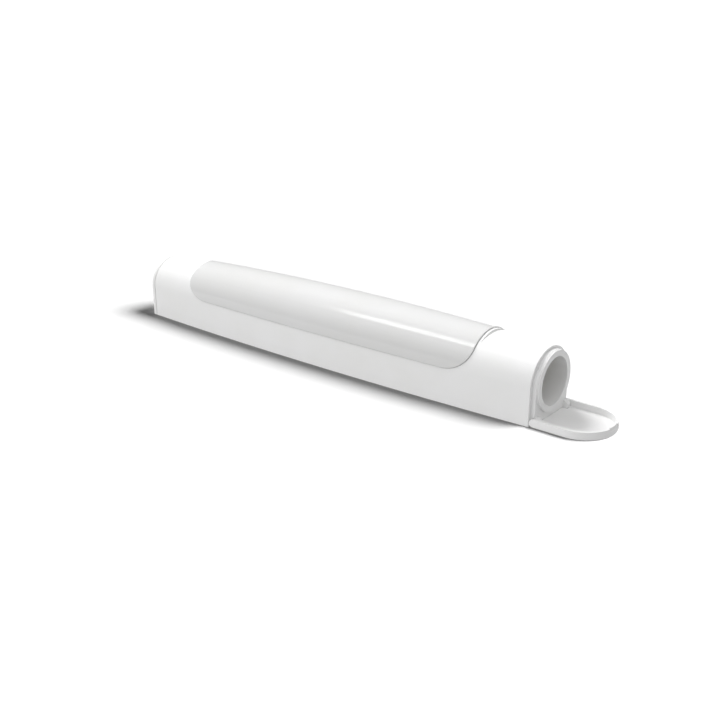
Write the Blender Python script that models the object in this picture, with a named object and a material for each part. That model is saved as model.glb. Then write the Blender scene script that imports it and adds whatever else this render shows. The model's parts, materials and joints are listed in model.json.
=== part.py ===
"""Fire blanket in a wall tube, modelled piece by piece.

A white moulded container with a D-shaped section lies on its flat back. The mouth is at +X and the
closed end at -X. The flap at the mouth stands open, lying level in front of it. Sizes are named in
millimetres and made metres where the meshes are built.
"""

import math

import bmesh
import bpy
from mathutils import Matrix, Vector

MM = 0.001

# Housing: a D-shaped section that swells towards the middle of its length.
BODY_LENGTH = 600.0
END_WIDTH = 78.6
SPRING_RAISE = 2.0
ARCH_FLATTEN = 2.6
SIDE_SWELL = 7.9
TOP_SWELL = 8.2
SHELL_WALL = 3.0
FIT_GAP = 0.3
EDGE_ROUND = 0.4
BODY_STATIONS = 16
ARCH_STEPS = 28

# Front cover and the pocket that it sits in.
COVER_SETBACK = 73.5
COVER_CORNER = 35.0
COVER_CORNER_ANGLE = 40.0
COVER_THICKNESS = 1.9
COVER_PROUD = 1.2
COVER_PEG_SETBACK = 146.5
COVER_PEG_RADIUS = 1.6
COVER_PEG_DEPTH = 3.0

# Finger scoops in the shell, just past each end of the cover.
SCOOP_GAP = 3.5
SCOOP_LENGTH = 20.0
SCOOP_HALF_ANGLE = 37.0
SCOOP_DEPTH = 2.0

# Back plate, its screws and its keyhole slots.
PLATE_THICKNESS = 2.5
SCREW_SETBACK = 50.0
SCREW_SHANK_RADIUS = 1.3
SCREW_HEAD_RADIUS = 2.9
SCREW_HEAD_HEIGHT = 1.2
SCREW_LENGTH = 11.0
BOSS_RADIUS = 3.8
BOSS_HEIGHT = 11.0
KEYHOLE_SETBACK = 110.0
KEYHOLE_HEAD_RADIUS = 5.0
KEYHOLE_SLOT_WIDTH = 5.0
KEYHOLE_SLOT_LENGTH = 11.0

# Tube that holds the blanket.
BORE_DROP = 0.4
TUBE_WALL = 1.6
SADDLE_SETBACK = 150.0
SADDLE_THICKNESS = 3.0
ROUND_STEPS = 48

# End cap.
CAP_THICKNESS = 8.0
CAP_ROUND = 4.0
CAP_SEAM = 0.6
CAP_PLUG_DEPTH = 9.0
CAP_PLUG_WALL = 2.0
CAP_SCREW_INSET = 10.3
CAP_SCREW_HEIGHT = 12.0
CAP_BOSS_LENGTH = 18.0

# Mouth: bezel step, round land, collar.
STEP_INSET = 5.1
STEP_DEPTH = 4.0
STEP_BOTTOM = 0.6
SHOULDER_LOW = 25.0
SHOULDER_HIGH = 62.0
BEZEL_PLUG_DEPTH = 6.0
LAND_HEIGHT = 1.0
RING_INSET = 0.4
RING_WIDTH = 6.8
RING_THICKNESS = 1.3
RING_ROUND = 0.5
THROAT_LENGTH = 50.0
NUB_ANGLES = (128.0, 243.0)
NUB_HALF_ANGLE = 5.0
NUB_HEIGHT = 0.8
NUB_LENGTH = 3.0

# Flap and its hinge.
HINGE_AHEAD = 0.5
HINGE_RAISE = 0.3
FLAP_SIDE_INSET = 0.3
FLAP_TOP_INSET = 0.2
FLAP_DEPTH = 9.0
FLAP_FLOOR = 1.5
FLAP_GAP = 0.4
FLAP_ROUND = 1.2
PULL_CHAMFER = 2.6
PULL_CHAMFER_WIDTH = 19.0
LUG_RADIUS = 5.0
LUG_WIDTH = 7.2
PIN_RADIUS = 1.5
PIN_REACH = 2.6
PIN_IN_LUG = 5.0

# Blanket, its pull tapes and the foam behind it.
ROLL_SLACK = 1.4
MOUTH_RECESS = 33.0
BUMPER_THICKNESS = 24.0
TAB_LENGTH = 21.0
TAB_THICKNESS = 1.1
TAB_HALF_ANGLE = 21.0
TAB_ANGLES = (150.0, 205.0)

HALF = BODY_LENGTH / 2
SPRING_HEIGHT = END_WIDTH / 2 + SPRING_RAISE
END_ARCH_HEIGHT = END_WIDTH / 2 - ARCH_FLATTEN
COVER_END_X = HALF - COVER_SETBACK
COVER_PEG_X = COVER_END_X - COVER_PEG_SETBACK
SCREW_X = HALF - SCREW_SETBACK
KEYHOLE_X = HALF - KEYHOLE_SETBACK
SADDLE_X = HALF - SADDLE_SETBACK
CAP_SCREW_SPREAD = END_WIDTH / 2 - CAP_SCREW_INSET
STEP_RADIUS = END_WIDTH / 2 - STEP_INSET
RING_RADIUS = STEP_RADIUS - RING_INSET
BORE_RADIUS = RING_RADIUS - RING_WIDTH
BORE_HEIGHT = SPRING_HEIGHT - BORE_DROP
ROLL_RADIUS = BORE_RADIUS - ROLL_SLACK
FLAP_TOP = SPRING_HEIGHT + END_ARCH_HEIGHT - FLAP_TOP_INSET
HINGE_X = FLAP_DEPTH / 2 + HINGE_AHEAD
HINGE_Z = FLAP_DEPTH / 2 + HINGE_RAISE
RING_FACE_X = HALF + FIT_GAP + STEP_DEPTH + LAND_HEIGHT + FIT_GAP + RING_THICKNESS
TUBE_RADIUS = BORE_RADIUS + TUBE_WALL


def clear_scene():
    """Removes everything that the scene starts with."""
    for obj in list(bpy.data.objects):
        bpy.data.objects.remove(obj, do_unlink=True)


def material(name, colour, roughness, metallic=0.0):
    """A plain Principled material."""
    made = bpy.data.materials.new(name)
    made.use_nodes = True
    shader = made.node_tree.nodes["Principled BSDF"]
    shader.inputs["Base Color"].default_value = (*colour, 1.0)
    shader.inputs["Roughness"].default_value = roughness
    shader.inputs["Metallic"].default_value = metallic
    return made


def mesh_object(name, points, faces, paint=None):
    """An object from points in millimetres, with its faces turned outwards."""
    mesh = bpy.data.meshes.new(name)
    mesh.from_pydata([Vector(point) * MM for point in points], [], faces)
    work = bmesh.new()
    work.from_mesh(mesh)
    bmesh.ops.recalc_face_normals(work, faces=work.faces)
    work.to_mesh(mesh)
    work.free()
    mesh.shade_smooth()
    mesh.set_sharp_from_angle(angle=math.radians(20))
    obj = bpy.data.objects.new(name, mesh)
    bpy.context.collection.objects.link(obj)
    if paint:
        mesh.materials.append(paint)
    return obj


def loft(name, rings, paint=None, round_trip=False):
    """A solid through rings of equal count. A round trip joins the last ring to the first."""
    count = len(rings[0])
    points = [point for ring in rings for point in ring]
    faces = []
    spans = len(rings) if round_trip else len(rings) - 1
    for i in range(spans):
        a, b = i * count, (i + 1) % len(rings) * count
        for j in range(count):
            k = (j + 1) % count
            faces.append((a + j, a + k, b + k, b + j))
    if not round_trip:
        faces.append(tuple(range(count)))
        faces.append(tuple(range(len(points) - count, len(points))))
    return mesh_object(name, points, faces, paint)


def shell_between(name, outer, inner, paint=None):
    """A curved sheet with thickness, from two grids of points of the same size."""
    rows, columns = len(outer), len(outer[0])
    size = rows * columns
    points = [point for grid in (outer, inner) for row in grid for point in row]
    faces = []
    for i in range(rows - 1):
        for j in range(columns - 1):
            a = i * columns + j
            quad = (a, a + 1, a + columns + 1, a + columns)
            faces.append(quad)
            faces.append(tuple(size + n for n in reversed(quad)))
    rim = [j for j in range(columns)]
    rim += [i * columns + columns - 1 for i in range(1, rows)]
    rim += [(rows - 1) * columns + j for j in range(columns - 2, -1, -1)]
    rim += [i * columns for i in range(rows - 2, 0, -1)]
    for n, a in enumerate(rim):
        b = rim[(n + 1) % len(rim)]
        faces.append((a, b, size + b, size + a))
    return mesh_object(name, points, faces, paint)


def along_x(profile, radial_steps=ROUND_STEPS, height=BORE_HEIGHT):
    """Rings round the bore's axis from a closed (x, radius) profile, one ring for each step."""
    rings = []
    for n in range(radial_steps):
        turn = math.tau * n / radial_steps
        y, z = math.cos(turn), math.sin(turn)
        rings.append([(x, radius * y, height + radius * z) for x, radius in profile])
    return rings


def turned(name, profile, paint=None, steps=ROUND_STEPS, height=BORE_HEIGHT):
    """A ring turned about the bore's axis from a closed (x, radius) profile."""
    return loft(name, along_x(profile, steps, height), paint, round_trip=True)


def rod(name, start, direction, stations, paint=None, steps=20):
    """A round bar: start point, unit direction, and (distance, radius) stations."""
    axis = Vector(direction)
    side = axis.orthogonal().normalized()
    other = axis.cross(side)
    rings = []
    for distance, radius in stations:
        centre = Vector(start) + axis * distance
        ring = []
        for n in range(steps):
            turn = math.tau * n / steps
            point = centre + (side * math.cos(turn) + other * math.sin(turn)) * radius
            ring.append(tuple(point))
        rings.append(ring)
    return loft(name, rings, paint)


def straight(length, radius, start=0.0):
    """Stations of a plain cylinder."""
    return [(start, radius), (length, radius)]


def eased(length, radius, ease):
    """Stations of a cylinder with a small chamfer at each end."""
    return [(0.0, radius - ease), (ease, radius), (length - ease, radius), (length, radius - ease)]


def block(name, low, high, paint=None):
    """A box between two corners."""
    (x0, y0, z0), (x1, y1, z1) = low, high
    ends = [[(x, y0, z0), (x, y1, z0), (x, y1, z1), (x, y0, z1)] for x in (x0, x1)]
    return loft(name, ends, paint)


def prism(name, outline, axis, low, high, paint=None):
    """An outline of (a, b) pairs extruded along axis "x", "y" or "z"."""
    place = {
        "x": lambda a, b, c: (c, a, b),
        "y": lambda a, b, c: (a, c, b),
        "z": lambda a, b, c: (a, b, c),
    }[axis]
    return loft(name, [[place(a, b, c) for a, b in outline] for c in (low, high)], paint)


def boolean(target, tool, operation):
    """Adds a live Boolean to target and hides the tool that it uses."""
    modifier = target.modifiers.new(tool.name, "BOOLEAN")
    modifier.operation = operation
    modifier.object = tool
    modifier.solver = "EXACT"
    tool.hide_render = True
    tool.display_type = "WIRE"


def cut(target, *tools):
    """Takes each tool's shape out of target."""
    for tool in tools:
        boolean(target, tool, "DIFFERENCE")


def join(target, *tools):
    """Makes each tool's shape part of target."""
    for tool in tools:
        boolean(target, tool, "UNION")


def swell(x):
    """How far towards the full middle section the body is at x, from 0 to 1."""
    return 1.0 - min(1.0, abs(x) / HALF) ** 2


def half_width(x, inset=0.0):
    """Half the body's width at x, less an inset."""
    return END_WIDTH / 2 + SIDE_SWELL * swell(x) - inset


def arch_point(x, degrees, inset=0.0):
    """A point on the arch. 0 degrees is the near spring line, 90 the ridge, 180 the far side."""
    turn = math.radians(degrees)
    rise = END_ARCH_HEIGHT + TOP_SWELL * swell(x) - inset
    return (x, -half_width(x, inset) * math.cos(turn), SPRING_HEIGHT + rise * math.sin(turn))


def section(x, inset=0.0, bottom=0.0, steps=ARCH_STEPS):
    """The D-shaped outline at x, from the near bottom corner over the arch to the far one."""
    ring = [(x, -half_width(x, inset), bottom)]
    ring += [arch_point(x, 180.0 * n / steps, inset) for n in range(steps + 1)]
    ring.append((x, half_width(x, inset), bottom))
    return ring


def body_stations():
    """Stations along the body, with an extra one close to each end for the rounded edge."""
    inner = [-HALF + BODY_LENGTH * n / BODY_STATIONS for n in range(1, BODY_STATIONS)]
    return [-HALF, -HALF + EDGE_ROUND, *inner, HALF - EDGE_ROUND, HALF]


def cover_outline(grow):
    """Rows of the cover as (angle, half length), with its corners rounded and its edge grown."""
    rows = []
    corner_steps = 7
    sagging = math.degrees(grow / (END_WIDTH / 2 + SIDE_SWELL))
    for n in range(corner_steps):
        turn = math.radians(90.0 * n / corner_steps)
        angle = COVER_CORNER_ANGLE * (1.0 - math.cos(turn)) - sagging * (1.0 - math.sin(turn))
        reach = COVER_END_X - COVER_CORNER * (1.0 - math.sin(turn)) + grow
        rows.append((angle, reach))
    middle_steps = 12
    for n in range(middle_steps + 1):
        share = n / middle_steps
        angle = COVER_CORNER_ANGLE + (180.0 - 2 * COVER_CORNER_ANGLE) * share
        rows.append((angle, COVER_END_X + grow))
    rows += [(180.0 - angle, reach) for angle, reach in reversed(rows[:corner_steps])]
    return rows


def below_arch(x, degrees, inset):
    """Like arch_point, but goes straight down the side below the spring line."""
    if 0.0 <= degrees <= 180.0:
        return arch_point(x, degrees, inset)
    over = -degrees if degrees < 0.0 else degrees - 180.0
    _, y, z = arch_point(x, 0.0 if degrees < 0.0 else 180.0, inset)
    return (x, y, z - math.radians(over) * half_width(x))


def cover_grid(inset, grow, columns=14):
    """A grid of points over the cover's area, at an inset from the body's surface."""
    grid = []
    for angle, reach in cover_outline(grow):
        shares = [-1.0 + 2.0 * n / columns for n in range(columns + 1)]
        grid.append([below_arch(reach * share, angle, inset) for share in shares])
    return grid


def make_housing(white):
    """The shell, with its cover pocket, scoops, peg holes and screw bosses."""
    rings = []
    for x in body_stations():
        outer = section(x, EDGE_ROUND if abs(x) == HALF else 0.0)
        inner = section(x, SHELL_WALL)
        rings.append(outer + inner[::-1])
    points = [point for ring in rings for point in ring]
    count = len(rings[0])
    faces = []
    for i in range(len(rings) - 1):
        for j in range(count):
            k = (j + 1) % count
            a, b = i * count, (i + 1) * count
            faces.append((a + j, a + k, b + k, b + j))
    for base in (0, len(points) - count):
        for j in range(count // 2 - 1):
            faces.append((base + j, base + j + 1, base + count - 2 - j, base + count - 1 - j))
    shell = mesh_object("housing_shell", points, faces, white)

    for x in (-SCREW_X, 0.0, SCREW_X):
        for side, word in ((-1, "near"), (1, "far")):
            label = f"{word}_{x:+.0f}"
            y = side * screw_offset(x)
            low = PLATE_THICKNESS + FIT_GAP
            reach = half_width(x) - SHELL_WALL / 2
            post = rod(f"boss_{label}", (x, y, low), (0, 0, 1), straight(BOSS_HEIGHT, BOSS_RADIUS))
            near, far = sorted((y, side * reach))
            top = low + BOSS_HEIGHT - 0.7
            web = block(f"web_{label}", (x - 1.2, near, low + 0.4), (x + 1.2, far, top))
            join(shell, web, post)
            stations = straight(SCREW_LENGTH, SCREW_SHANK_RADIUS + 0.2, start=-1.0)
            cut(shell, rod(f"pilot_{label}", (x, y, low), (0, 0, 1), stations))

    for side, word in ((-1, "near"), (1, "far")):
        y = side * CAP_SCREW_SPREAD
        start = -HALF + CAP_PLUG_DEPTH
        reach = half_width(start) - SHELL_WALL / 2
        near, far = sorted((y - side * BOSS_RADIUS, side * reach))
        low = (start + FIT_GAP, near, CAP_SCREW_HEIGHT - BOSS_RADIUS)
        high = (start + CAP_BOSS_LENGTH, far, CAP_SCREW_HEIGHT + BOSS_RADIUS)
        join(shell, block(f"cap_boss_{word}", low, high))
        stations = straight(CAP_BOSS_LENGTH - 4.0, SCREW_SHANK_RADIUS + 0.2)
        cut(shell, rod(f"cap_pilot_{word}", (start, y, CAP_SCREW_HEIGHT), (1, 0, 0), stations))

    pocket_floor = COVER_THICKNESS - COVER_PROUD + FIT_GAP
    pocket = shell_between("cover_pocket", cover_grid(-4.0, FIT_GAP), cover_grid(pocket_floor, FIT_GAP))
    cut(shell, pocket)
    for side, word in ((-1, "rear"), (1, "front")):
        cut(shell, make_scoop(f"scoop_{word}", side))
        x = side * COVER_PEG_X
        top = arch_point(x, 90.0)[2]
        stations = straight(14.0, COVER_PEG_RADIUS + FIT_GAP)
        cut(shell, rod(f"peg_hole_{word}", (x, 0, top - 10.0), (0, 0, 1), stations))
    return shell


def make_scoop(name, side):
    """The cutter of one finger scoop: a half ellipse in plan, deepest at its straight edge."""
    start = COVER_END_X + SCOOP_GAP
    rings = 6
    steps = 16
    upper, lower = [], []
    for i in range(rings + 1):
        share = 1.12 * i / rings
        top_row, low_row = [], []
        for n in range(steps + 1):
            turn = math.pi * n / steps
            x = side * (start + SCOOP_LENGTH * share * math.sin(turn))
            angle = 90.0 - SCOOP_HALF_ANGLE * share * math.cos(turn)
            depth = SCOOP_DEPTH * (1.0 - share * share)
            top_row.append(arch_point(x, angle, -4.0))
            low_row.append(arch_point(x, angle, depth))
        upper.append(top_row)
        lower.append(low_row)
    return fan_solid(name, upper, lower)


def fan_solid(name, upper, lower):
    """A solid between two half-disc grids whose first row is a single point."""
    count = len(upper[0])
    rows = len(upper) - 1
    points, faces = [], []
    for grid in (upper, lower):
        points.append(grid[0][0])
        for row in grid[1:]:
            points.extend(row)
    size = 1 + rows * count

    def at(layer, row, column):
        return layer * size + (0 if row == 0 else 1 + (row - 1) * count + column)

    for layer in (0, 1):
        for i in range(rows):
            for j in range(count - 1):
                quad = [at(layer, i, j), at(layer, i + 1, j)]
                quad += [at(layer, i + 1, j + 1), at(layer, i, j + 1)]
                faces.append(tuple(dict.fromkeys(quad)))
    for j in range(count - 1):
        faces.append((at(0, rows, j), at(0, rows, j + 1), at(1, rows, j + 1), at(1, rows, j)))
    for column in (0, count - 1):
        for i in range(rows):
            a, b = at(0, i, column), at(0, i + 1, column)
            faces.append((a, b, at(1, i + 1, column), at(1, i, column)))
    return mesh_object(name, points, faces)


def make_cover(white):
    """The glossy cover with an eased edge and two locating pegs."""
    outer = cover_grid(-COVER_PROUD, 0.0)
    inner = cover_grid(COVER_THICKNESS - COVER_PROUD, 0.0)
    cover = shell_between("front_cover", outer, inner, white)
    for side, word in ((-1, "rear"), (1, "front")):
        x = side * COVER_PEG_X
        top = arch_point(x, 90.0)[2] + COVER_PROUD - COVER_THICKNESS / 2
        length = COVER_THICKNESS / 2 + COVER_PEG_DEPTH
        stations = straight(length - 0.6, COVER_PEG_RADIUS) + [(length, COVER_PEG_RADIUS - 0.5)]
        join(cover, rod(f"peg_{word}", (x, 0, top), (0, 0, -1), stations))
    return cover


def screw_offset(x):
    """Distance of the back plate's screws from the middle at x."""
    return half_width(x) - SHELL_WALL - BOSS_RADIUS + 0.6


def make_back_plate(white):
    """The flat back, with screw holes and two keyhole slots."""
    gap = SHELL_WALL + FIT_GAP
    stations = [-HALF + CAP_PLUG_DEPTH + 2 * FIT_GAP]
    stations += [x for x in body_stations() if abs(x) < HALF - CAP_PLUG_DEPTH - 5.0]
    stations.append(HALF - BEZEL_PLUG_DEPTH - FIT_GAP)
    rings = []
    for x in stations:
        y = half_width(x, gap)
        low, high = 0.0, PLATE_THICKNESS
        rings.append([(x, -y, low), (x, y, low), (x, y, high), (x, -y, high)])
    plate = loft("back_plate", rings, white)
    for x in (-SCREW_X, 0.0, SCREW_X):
        for side, word in ((-1, "near"), (1, "far")):
            y = side * screw_offset(x)
            sink = SCREW_HEAD_HEIGHT + 2 * FIT_GAP
            hole = SCREW_SHANK_RADIUS + FIT_GAP
            wide = SCREW_HEAD_RADIUS + FIT_GAP
            stations = [(0.0, wide), (sink + 1.0, wide), (sink + 1.0, hole), (8.0, hole)]
            cut(plate, rod(f"plate_hole_{word}_{x:+.0f}", (x, y, -1.0), (0, 0, 1), stations))
    for side, word in ((-1, "rear"), (1, "front")):
        cut(plate, make_keyhole(f"keyhole_{word}", side * KEYHOLE_X))
    return plate


def make_keyhole(name, x):
    """The cutter of one keyhole slot: a round hole with a narrower slot towards the closed end."""
    outline = []
    half = KEYHOLE_SLOT_WIDTH / 2
    start = math.asin(half / KEYHOLE_HEAD_RADIUS)
    steps = 16
    for n in range(steps + 1):
        turn = math.pi - start - (math.tau - 2 * start) * n / steps
        outline.append((x + KEYHOLE_HEAD_RADIUS * math.cos(turn), KEYHOLE_HEAD_RADIUS * math.sin(turn)))
    for n in range(9):
        turn = -math.pi / 2 - math.pi * n / 8
        outline.append((x - KEYHOLE_SLOT_LENGTH + half * math.cos(turn), half * math.sin(turn)))
    return prism(name, outline, "z", -1.0, PLATE_THICKNESS + 1.0)


def screw(name, start, direction, length, steel):
    """A pan-head screw, from the top of its head to its tip."""
    head, shank = SCREW_HEAD_RADIUS, SCREW_SHANK_RADIUS
    stations = [(0.0, head - 0.3), (0.3, head), (SCREW_HEAD_HEIGHT, head)]
    stations += [(SCREW_HEAD_HEIGHT, shank), (length - 1.0, shank), (length, shank * 0.5)]
    rod(name, start, direction, stations, steel)


def make_screws(steel):
    """The back plate's six screws and the end cap's two."""
    number = 0
    for x in (-SCREW_X, 0.0, SCREW_X):
        for side in (-1, 1):
            number += 1
            start = (x, side * screw_offset(x), FIT_GAP)
            screw(f"back_screw_{number}", start, (0, 0, 1), SCREW_LENGTH, steel)
    head_top = -HALF - CAP_THICKNESS - CAP_SEAM + CAP_ROUND - 0.6
    length = CAP_PLUG_DEPTH + CAP_BOSS_LENGTH - 4.0
    for side, word in ((-1, "near"), (1, "far")):
        start = (head_top, side * CAP_SCREW_SPREAD, CAP_SCREW_HEIGHT)
        screw(f"cap_screw_{word}", start, (1, 0, 0), length, steel)


def cap_ring(x, inset, bottom=None):
    """The body's end outline at any x beyond the end, with an inset all round."""
    low = inset if bottom is None else bottom
    return [(x, y, z) for _, y, z in section(HALF, inset, low)]


def make_end_cap(white):
    """The closed cap with its rounded edge, a plug inside the shell and two screw holes."""
    face = -HALF - CAP_SEAM
    rings = [cap_ring(face, 0.3), cap_ring(face - 0.3, 0.0)]
    back = face - CAP_THICKNESS
    for n in range(7):
        turn = math.radians(90.0 * n / 6)
        x = back + CAP_ROUND * (1.0 - math.sin(turn))
        rings.append(cap_ring(x, CAP_ROUND * (1.0 - math.cos(turn))))
    cap = loft("end_cap", rings, white)
    gap = SHELL_WALL + FIT_GAP
    tip = -HALF + CAP_PLUG_DEPTH
    plug = loft("cap_plug", [cap_ring(face - 1.0, gap, 0.9), cap_ring(tip, gap, 0.9)])
    inner = gap + CAP_PLUG_WALL
    hollow = loft("cap_hollow", [cap_ring(face - 4.0, inner, 3.2), cap_ring(tip + 1.0, inner, 3.2)])
    join(cap, plug)
    cut(cap, hollow)
    for side, word in ((-1, "near"), (1, "far")):
        y = side * CAP_SCREW_SPREAD
        seat = CAP_ROUND - 0.6 + SCREW_HEAD_HEIGHT
        wide = SCREW_HEAD_RADIUS + FIT_GAP
        narrow = SCREW_SHANK_RADIUS + FIT_GAP
        stations = straight(seat + FIT_GAP, wide, start=-1.0)
        stations += straight(CAP_THICKNESS + 14.0, narrow, start=seat + FIT_GAP)
        post = straight(CAP_PLUG_DEPTH + 4.6, 5.0)
        join(cap, rod(f"cap_post_{word}", (face - 5.0, y, CAP_SCREW_HEIGHT), (1, 0, 0), post))
        cut(cap, rod(f"cap_hole_{word}", (back, y, CAP_SCREW_HEIGHT), (1, 0, 0), stations))
    return cap


def step_outline(grow=0.0, bottom=STEP_BOTTOM, flats=True):
    """The mouth's D outline, with or without its shoulder flats, as (y, z) pairs."""
    radius = STEP_RADIUS + grow
    angles = [0.0, 8.0, 16.0, SHOULDER_LOW]
    if not flats:
        angles += [SHOULDER_LOW + (SHOULDER_HIGH - SHOULDER_LOW) * n / 5 for n in range(1, 5)]
    angles.append(SHOULDER_HIGH)
    angles += [SHOULDER_HIGH + (90.0 - SHOULDER_HIGH) * n / 4 for n in range(1, 5)]
    angles += [180.0 - angle for angle in reversed(angles[:-1])]
    outline = [(-radius, bottom)]
    for angle in angles:
        turn = math.radians(angle)
        outline.append((-radius * math.cos(turn), BORE_HEIGHT + radius * math.sin(turn)))
    outline.append((radius, bottom))
    return outline


def make_bezel(white):
    """The mouth plate: plug, step with shoulder flats, round land and hinge lugs."""
    gap = SHELL_WALL + FIT_GAP
    back = HALF - BEZEL_PLUG_DEPTH
    base = HALF + FIT_GAP
    front = base + STEP_DEPTH
    bezel = prism("bezel", step_outline(), "x", base, front, white)
    plug = loft("bezel_plug", [cap_ring(back, gap, 0.9), cap_ring(base + 1.0, gap, 0.9)])
    trimmed = prism("plug_trim", step_outline(20.0, -10.0), "x", base, base + 4.0)
    cut(plug, trimmed)
    low, high = front - 1.0, front + LAND_HEIGHT
    profile = [(low, 20.0), (low, RING_RADIUS), (high, RING_RADIUS), (high, 20.0)]
    join(bezel, plug, turned("bezel_land", profile))
    axis = HALF + HINGE_X
    for side, word in ((-1, "near"), (1, "far")):
        outline = [(axis - 3.0, HINGE_Z + LUG_RADIUS * 0.8)]
        for degrees in range(110, -71, -12):
            turn = math.radians(degrees)
            height = HINGE_Z + LUG_RADIUS * math.sin(turn)
            outline.append((axis + LUG_RADIUS * math.cos(turn), max(0.5, height)))
        outline.append((axis - 3.0, 0.5))
        edge = side * STEP_RADIUS
        near, far = sorted((edge, edge - side * LUG_WIDTH))
        join(bezel, prism(f"lug_{word}", outline, "y", near, far))
        near, far = sorted((edge + side, edge - side * (PIN_IN_LUG + FIT_GAP)))
        hole = straight(far - near, PIN_RADIUS + 0.2)
        cut(bezel, rod(f"lug_hole_{word}", (axis, near, HINGE_Z), (0, 1, 0), hole))
    bore = straight(30.0, TUBE_RADIUS + FIT_GAP)
    cut(bezel, rod("bezel_bore", (back - 2.0, 0, BORE_HEIGHT), (1, 0, 0), bore, steps=ROUND_STEPS))
    return bezel


def make_collar(white):
    """The raised ring round the mouth with its throat and two small nubs that hold the roll back."""
    back = RING_FACE_X - RING_THICKNESS
    profile = [
        (RING_FACE_X - THROAT_LENGTH, BORE_RADIUS),
        (RING_FACE_X - 0.5, BORE_RADIUS),
        (RING_FACE_X, BORE_RADIUS + 0.5),
        (RING_FACE_X, RING_RADIUS - RING_ROUND),
        (RING_FACE_X - RING_ROUND, RING_RADIUS),
        (back, RING_RADIUS),
        (back, TUBE_RADIUS),
        (RING_FACE_X - THROAT_LENGTH, TUBE_RADIUS),
    ]
    collar = turned("collar", profile, white)
    for number, angle in enumerate(NUB_ANGLES, 1):
        steps = 4
        ends = []
        for x in (RING_FACE_X - NUB_LENGTH, RING_FACE_X - 0.7):
            ring = []
            out = [(BORE_RADIUS + 0.8, n) for n in range(steps + 1)]
            back_in = [(BORE_RADIUS - NUB_HEIGHT, n) for n in range(steps, -1, -1)]
            for radius, n in out + back_in:
                turn = math.radians(angle - NUB_HALF_ANGLE + 2 * NUB_HALF_ANGLE * n / steps)
                ring.append((x, radius * math.cos(turn), BORE_HEIGHT + radius * math.sin(turn)))
            ends.append(ring)
        join(collar, loft(f"mouth_nub_{number}", ends))
    return collar


def make_tube(white):
    """The inner tube and the two saddles that carry it."""
    front = RING_FACE_X - THROAT_LENGTH - FIT_GAP
    rear = -HALF - CAP_SEAM + 0.2
    profile = [(rear, BORE_RADIUS), (front, BORE_RADIUS), (front, TUBE_RADIUS), (rear, TUBE_RADIUS)]
    turned("inner_tube", profile, white)
    for side, word in ((-1, "rear"), (1, "front")):
        x = side * SADDLE_X
        inset = SHELL_WALL + FIT_GAP + 0.2
        low = PLATE_THICKNESS + FIT_GAP
        far = abs(x) + SADDLE_THICKNESS
        ring = section(far, inset, low, steps=20)
        ends = [[(x + side * t, y, z) for _, y, z in ring] for t in (0.0, SADDLE_THICKNESS)]
        saddle = loft(f"tube_saddle_{word}", ends, white)
        start = (x - side * 2.0, 0, BORE_HEIGHT)
        stations = straight(SADDLE_THICKNESS + 4.0, TUBE_RADIUS + FIT_GAP)
        cut(saddle, rod(f"saddle_hole_{word}", start, (side, 0, 0), stations, steps=ROUND_STEPS))


def flap_plan(outline):
    """Turns a (y, z) outline of the closed flap into the (x, y) plan of the open one."""
    return [(HALF + HINGE_X + z - HINGE_Z, y) for y, z in outline]


def flap_outline(inset):
    """The flap's outer D outline when closed, as (y, z) pairs."""
    half = END_WIDTH / 2 - FLAP_SIDE_INSET - inset
    rise = FLAP_TOP - SPRING_HEIGHT - inset
    outline = [(-half, HINGE_Z - FLAP_DEPTH / 2)]
    for n in range(ARCH_STEPS + 1):
        turn = math.pi * n / ARCH_STEPS
        outline.append((-half * math.cos(turn), SPRING_HEIGHT + rise * math.sin(turn)))
    outline.append((half, HINGE_Z - FLAP_DEPTH / 2))
    return outline


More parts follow.
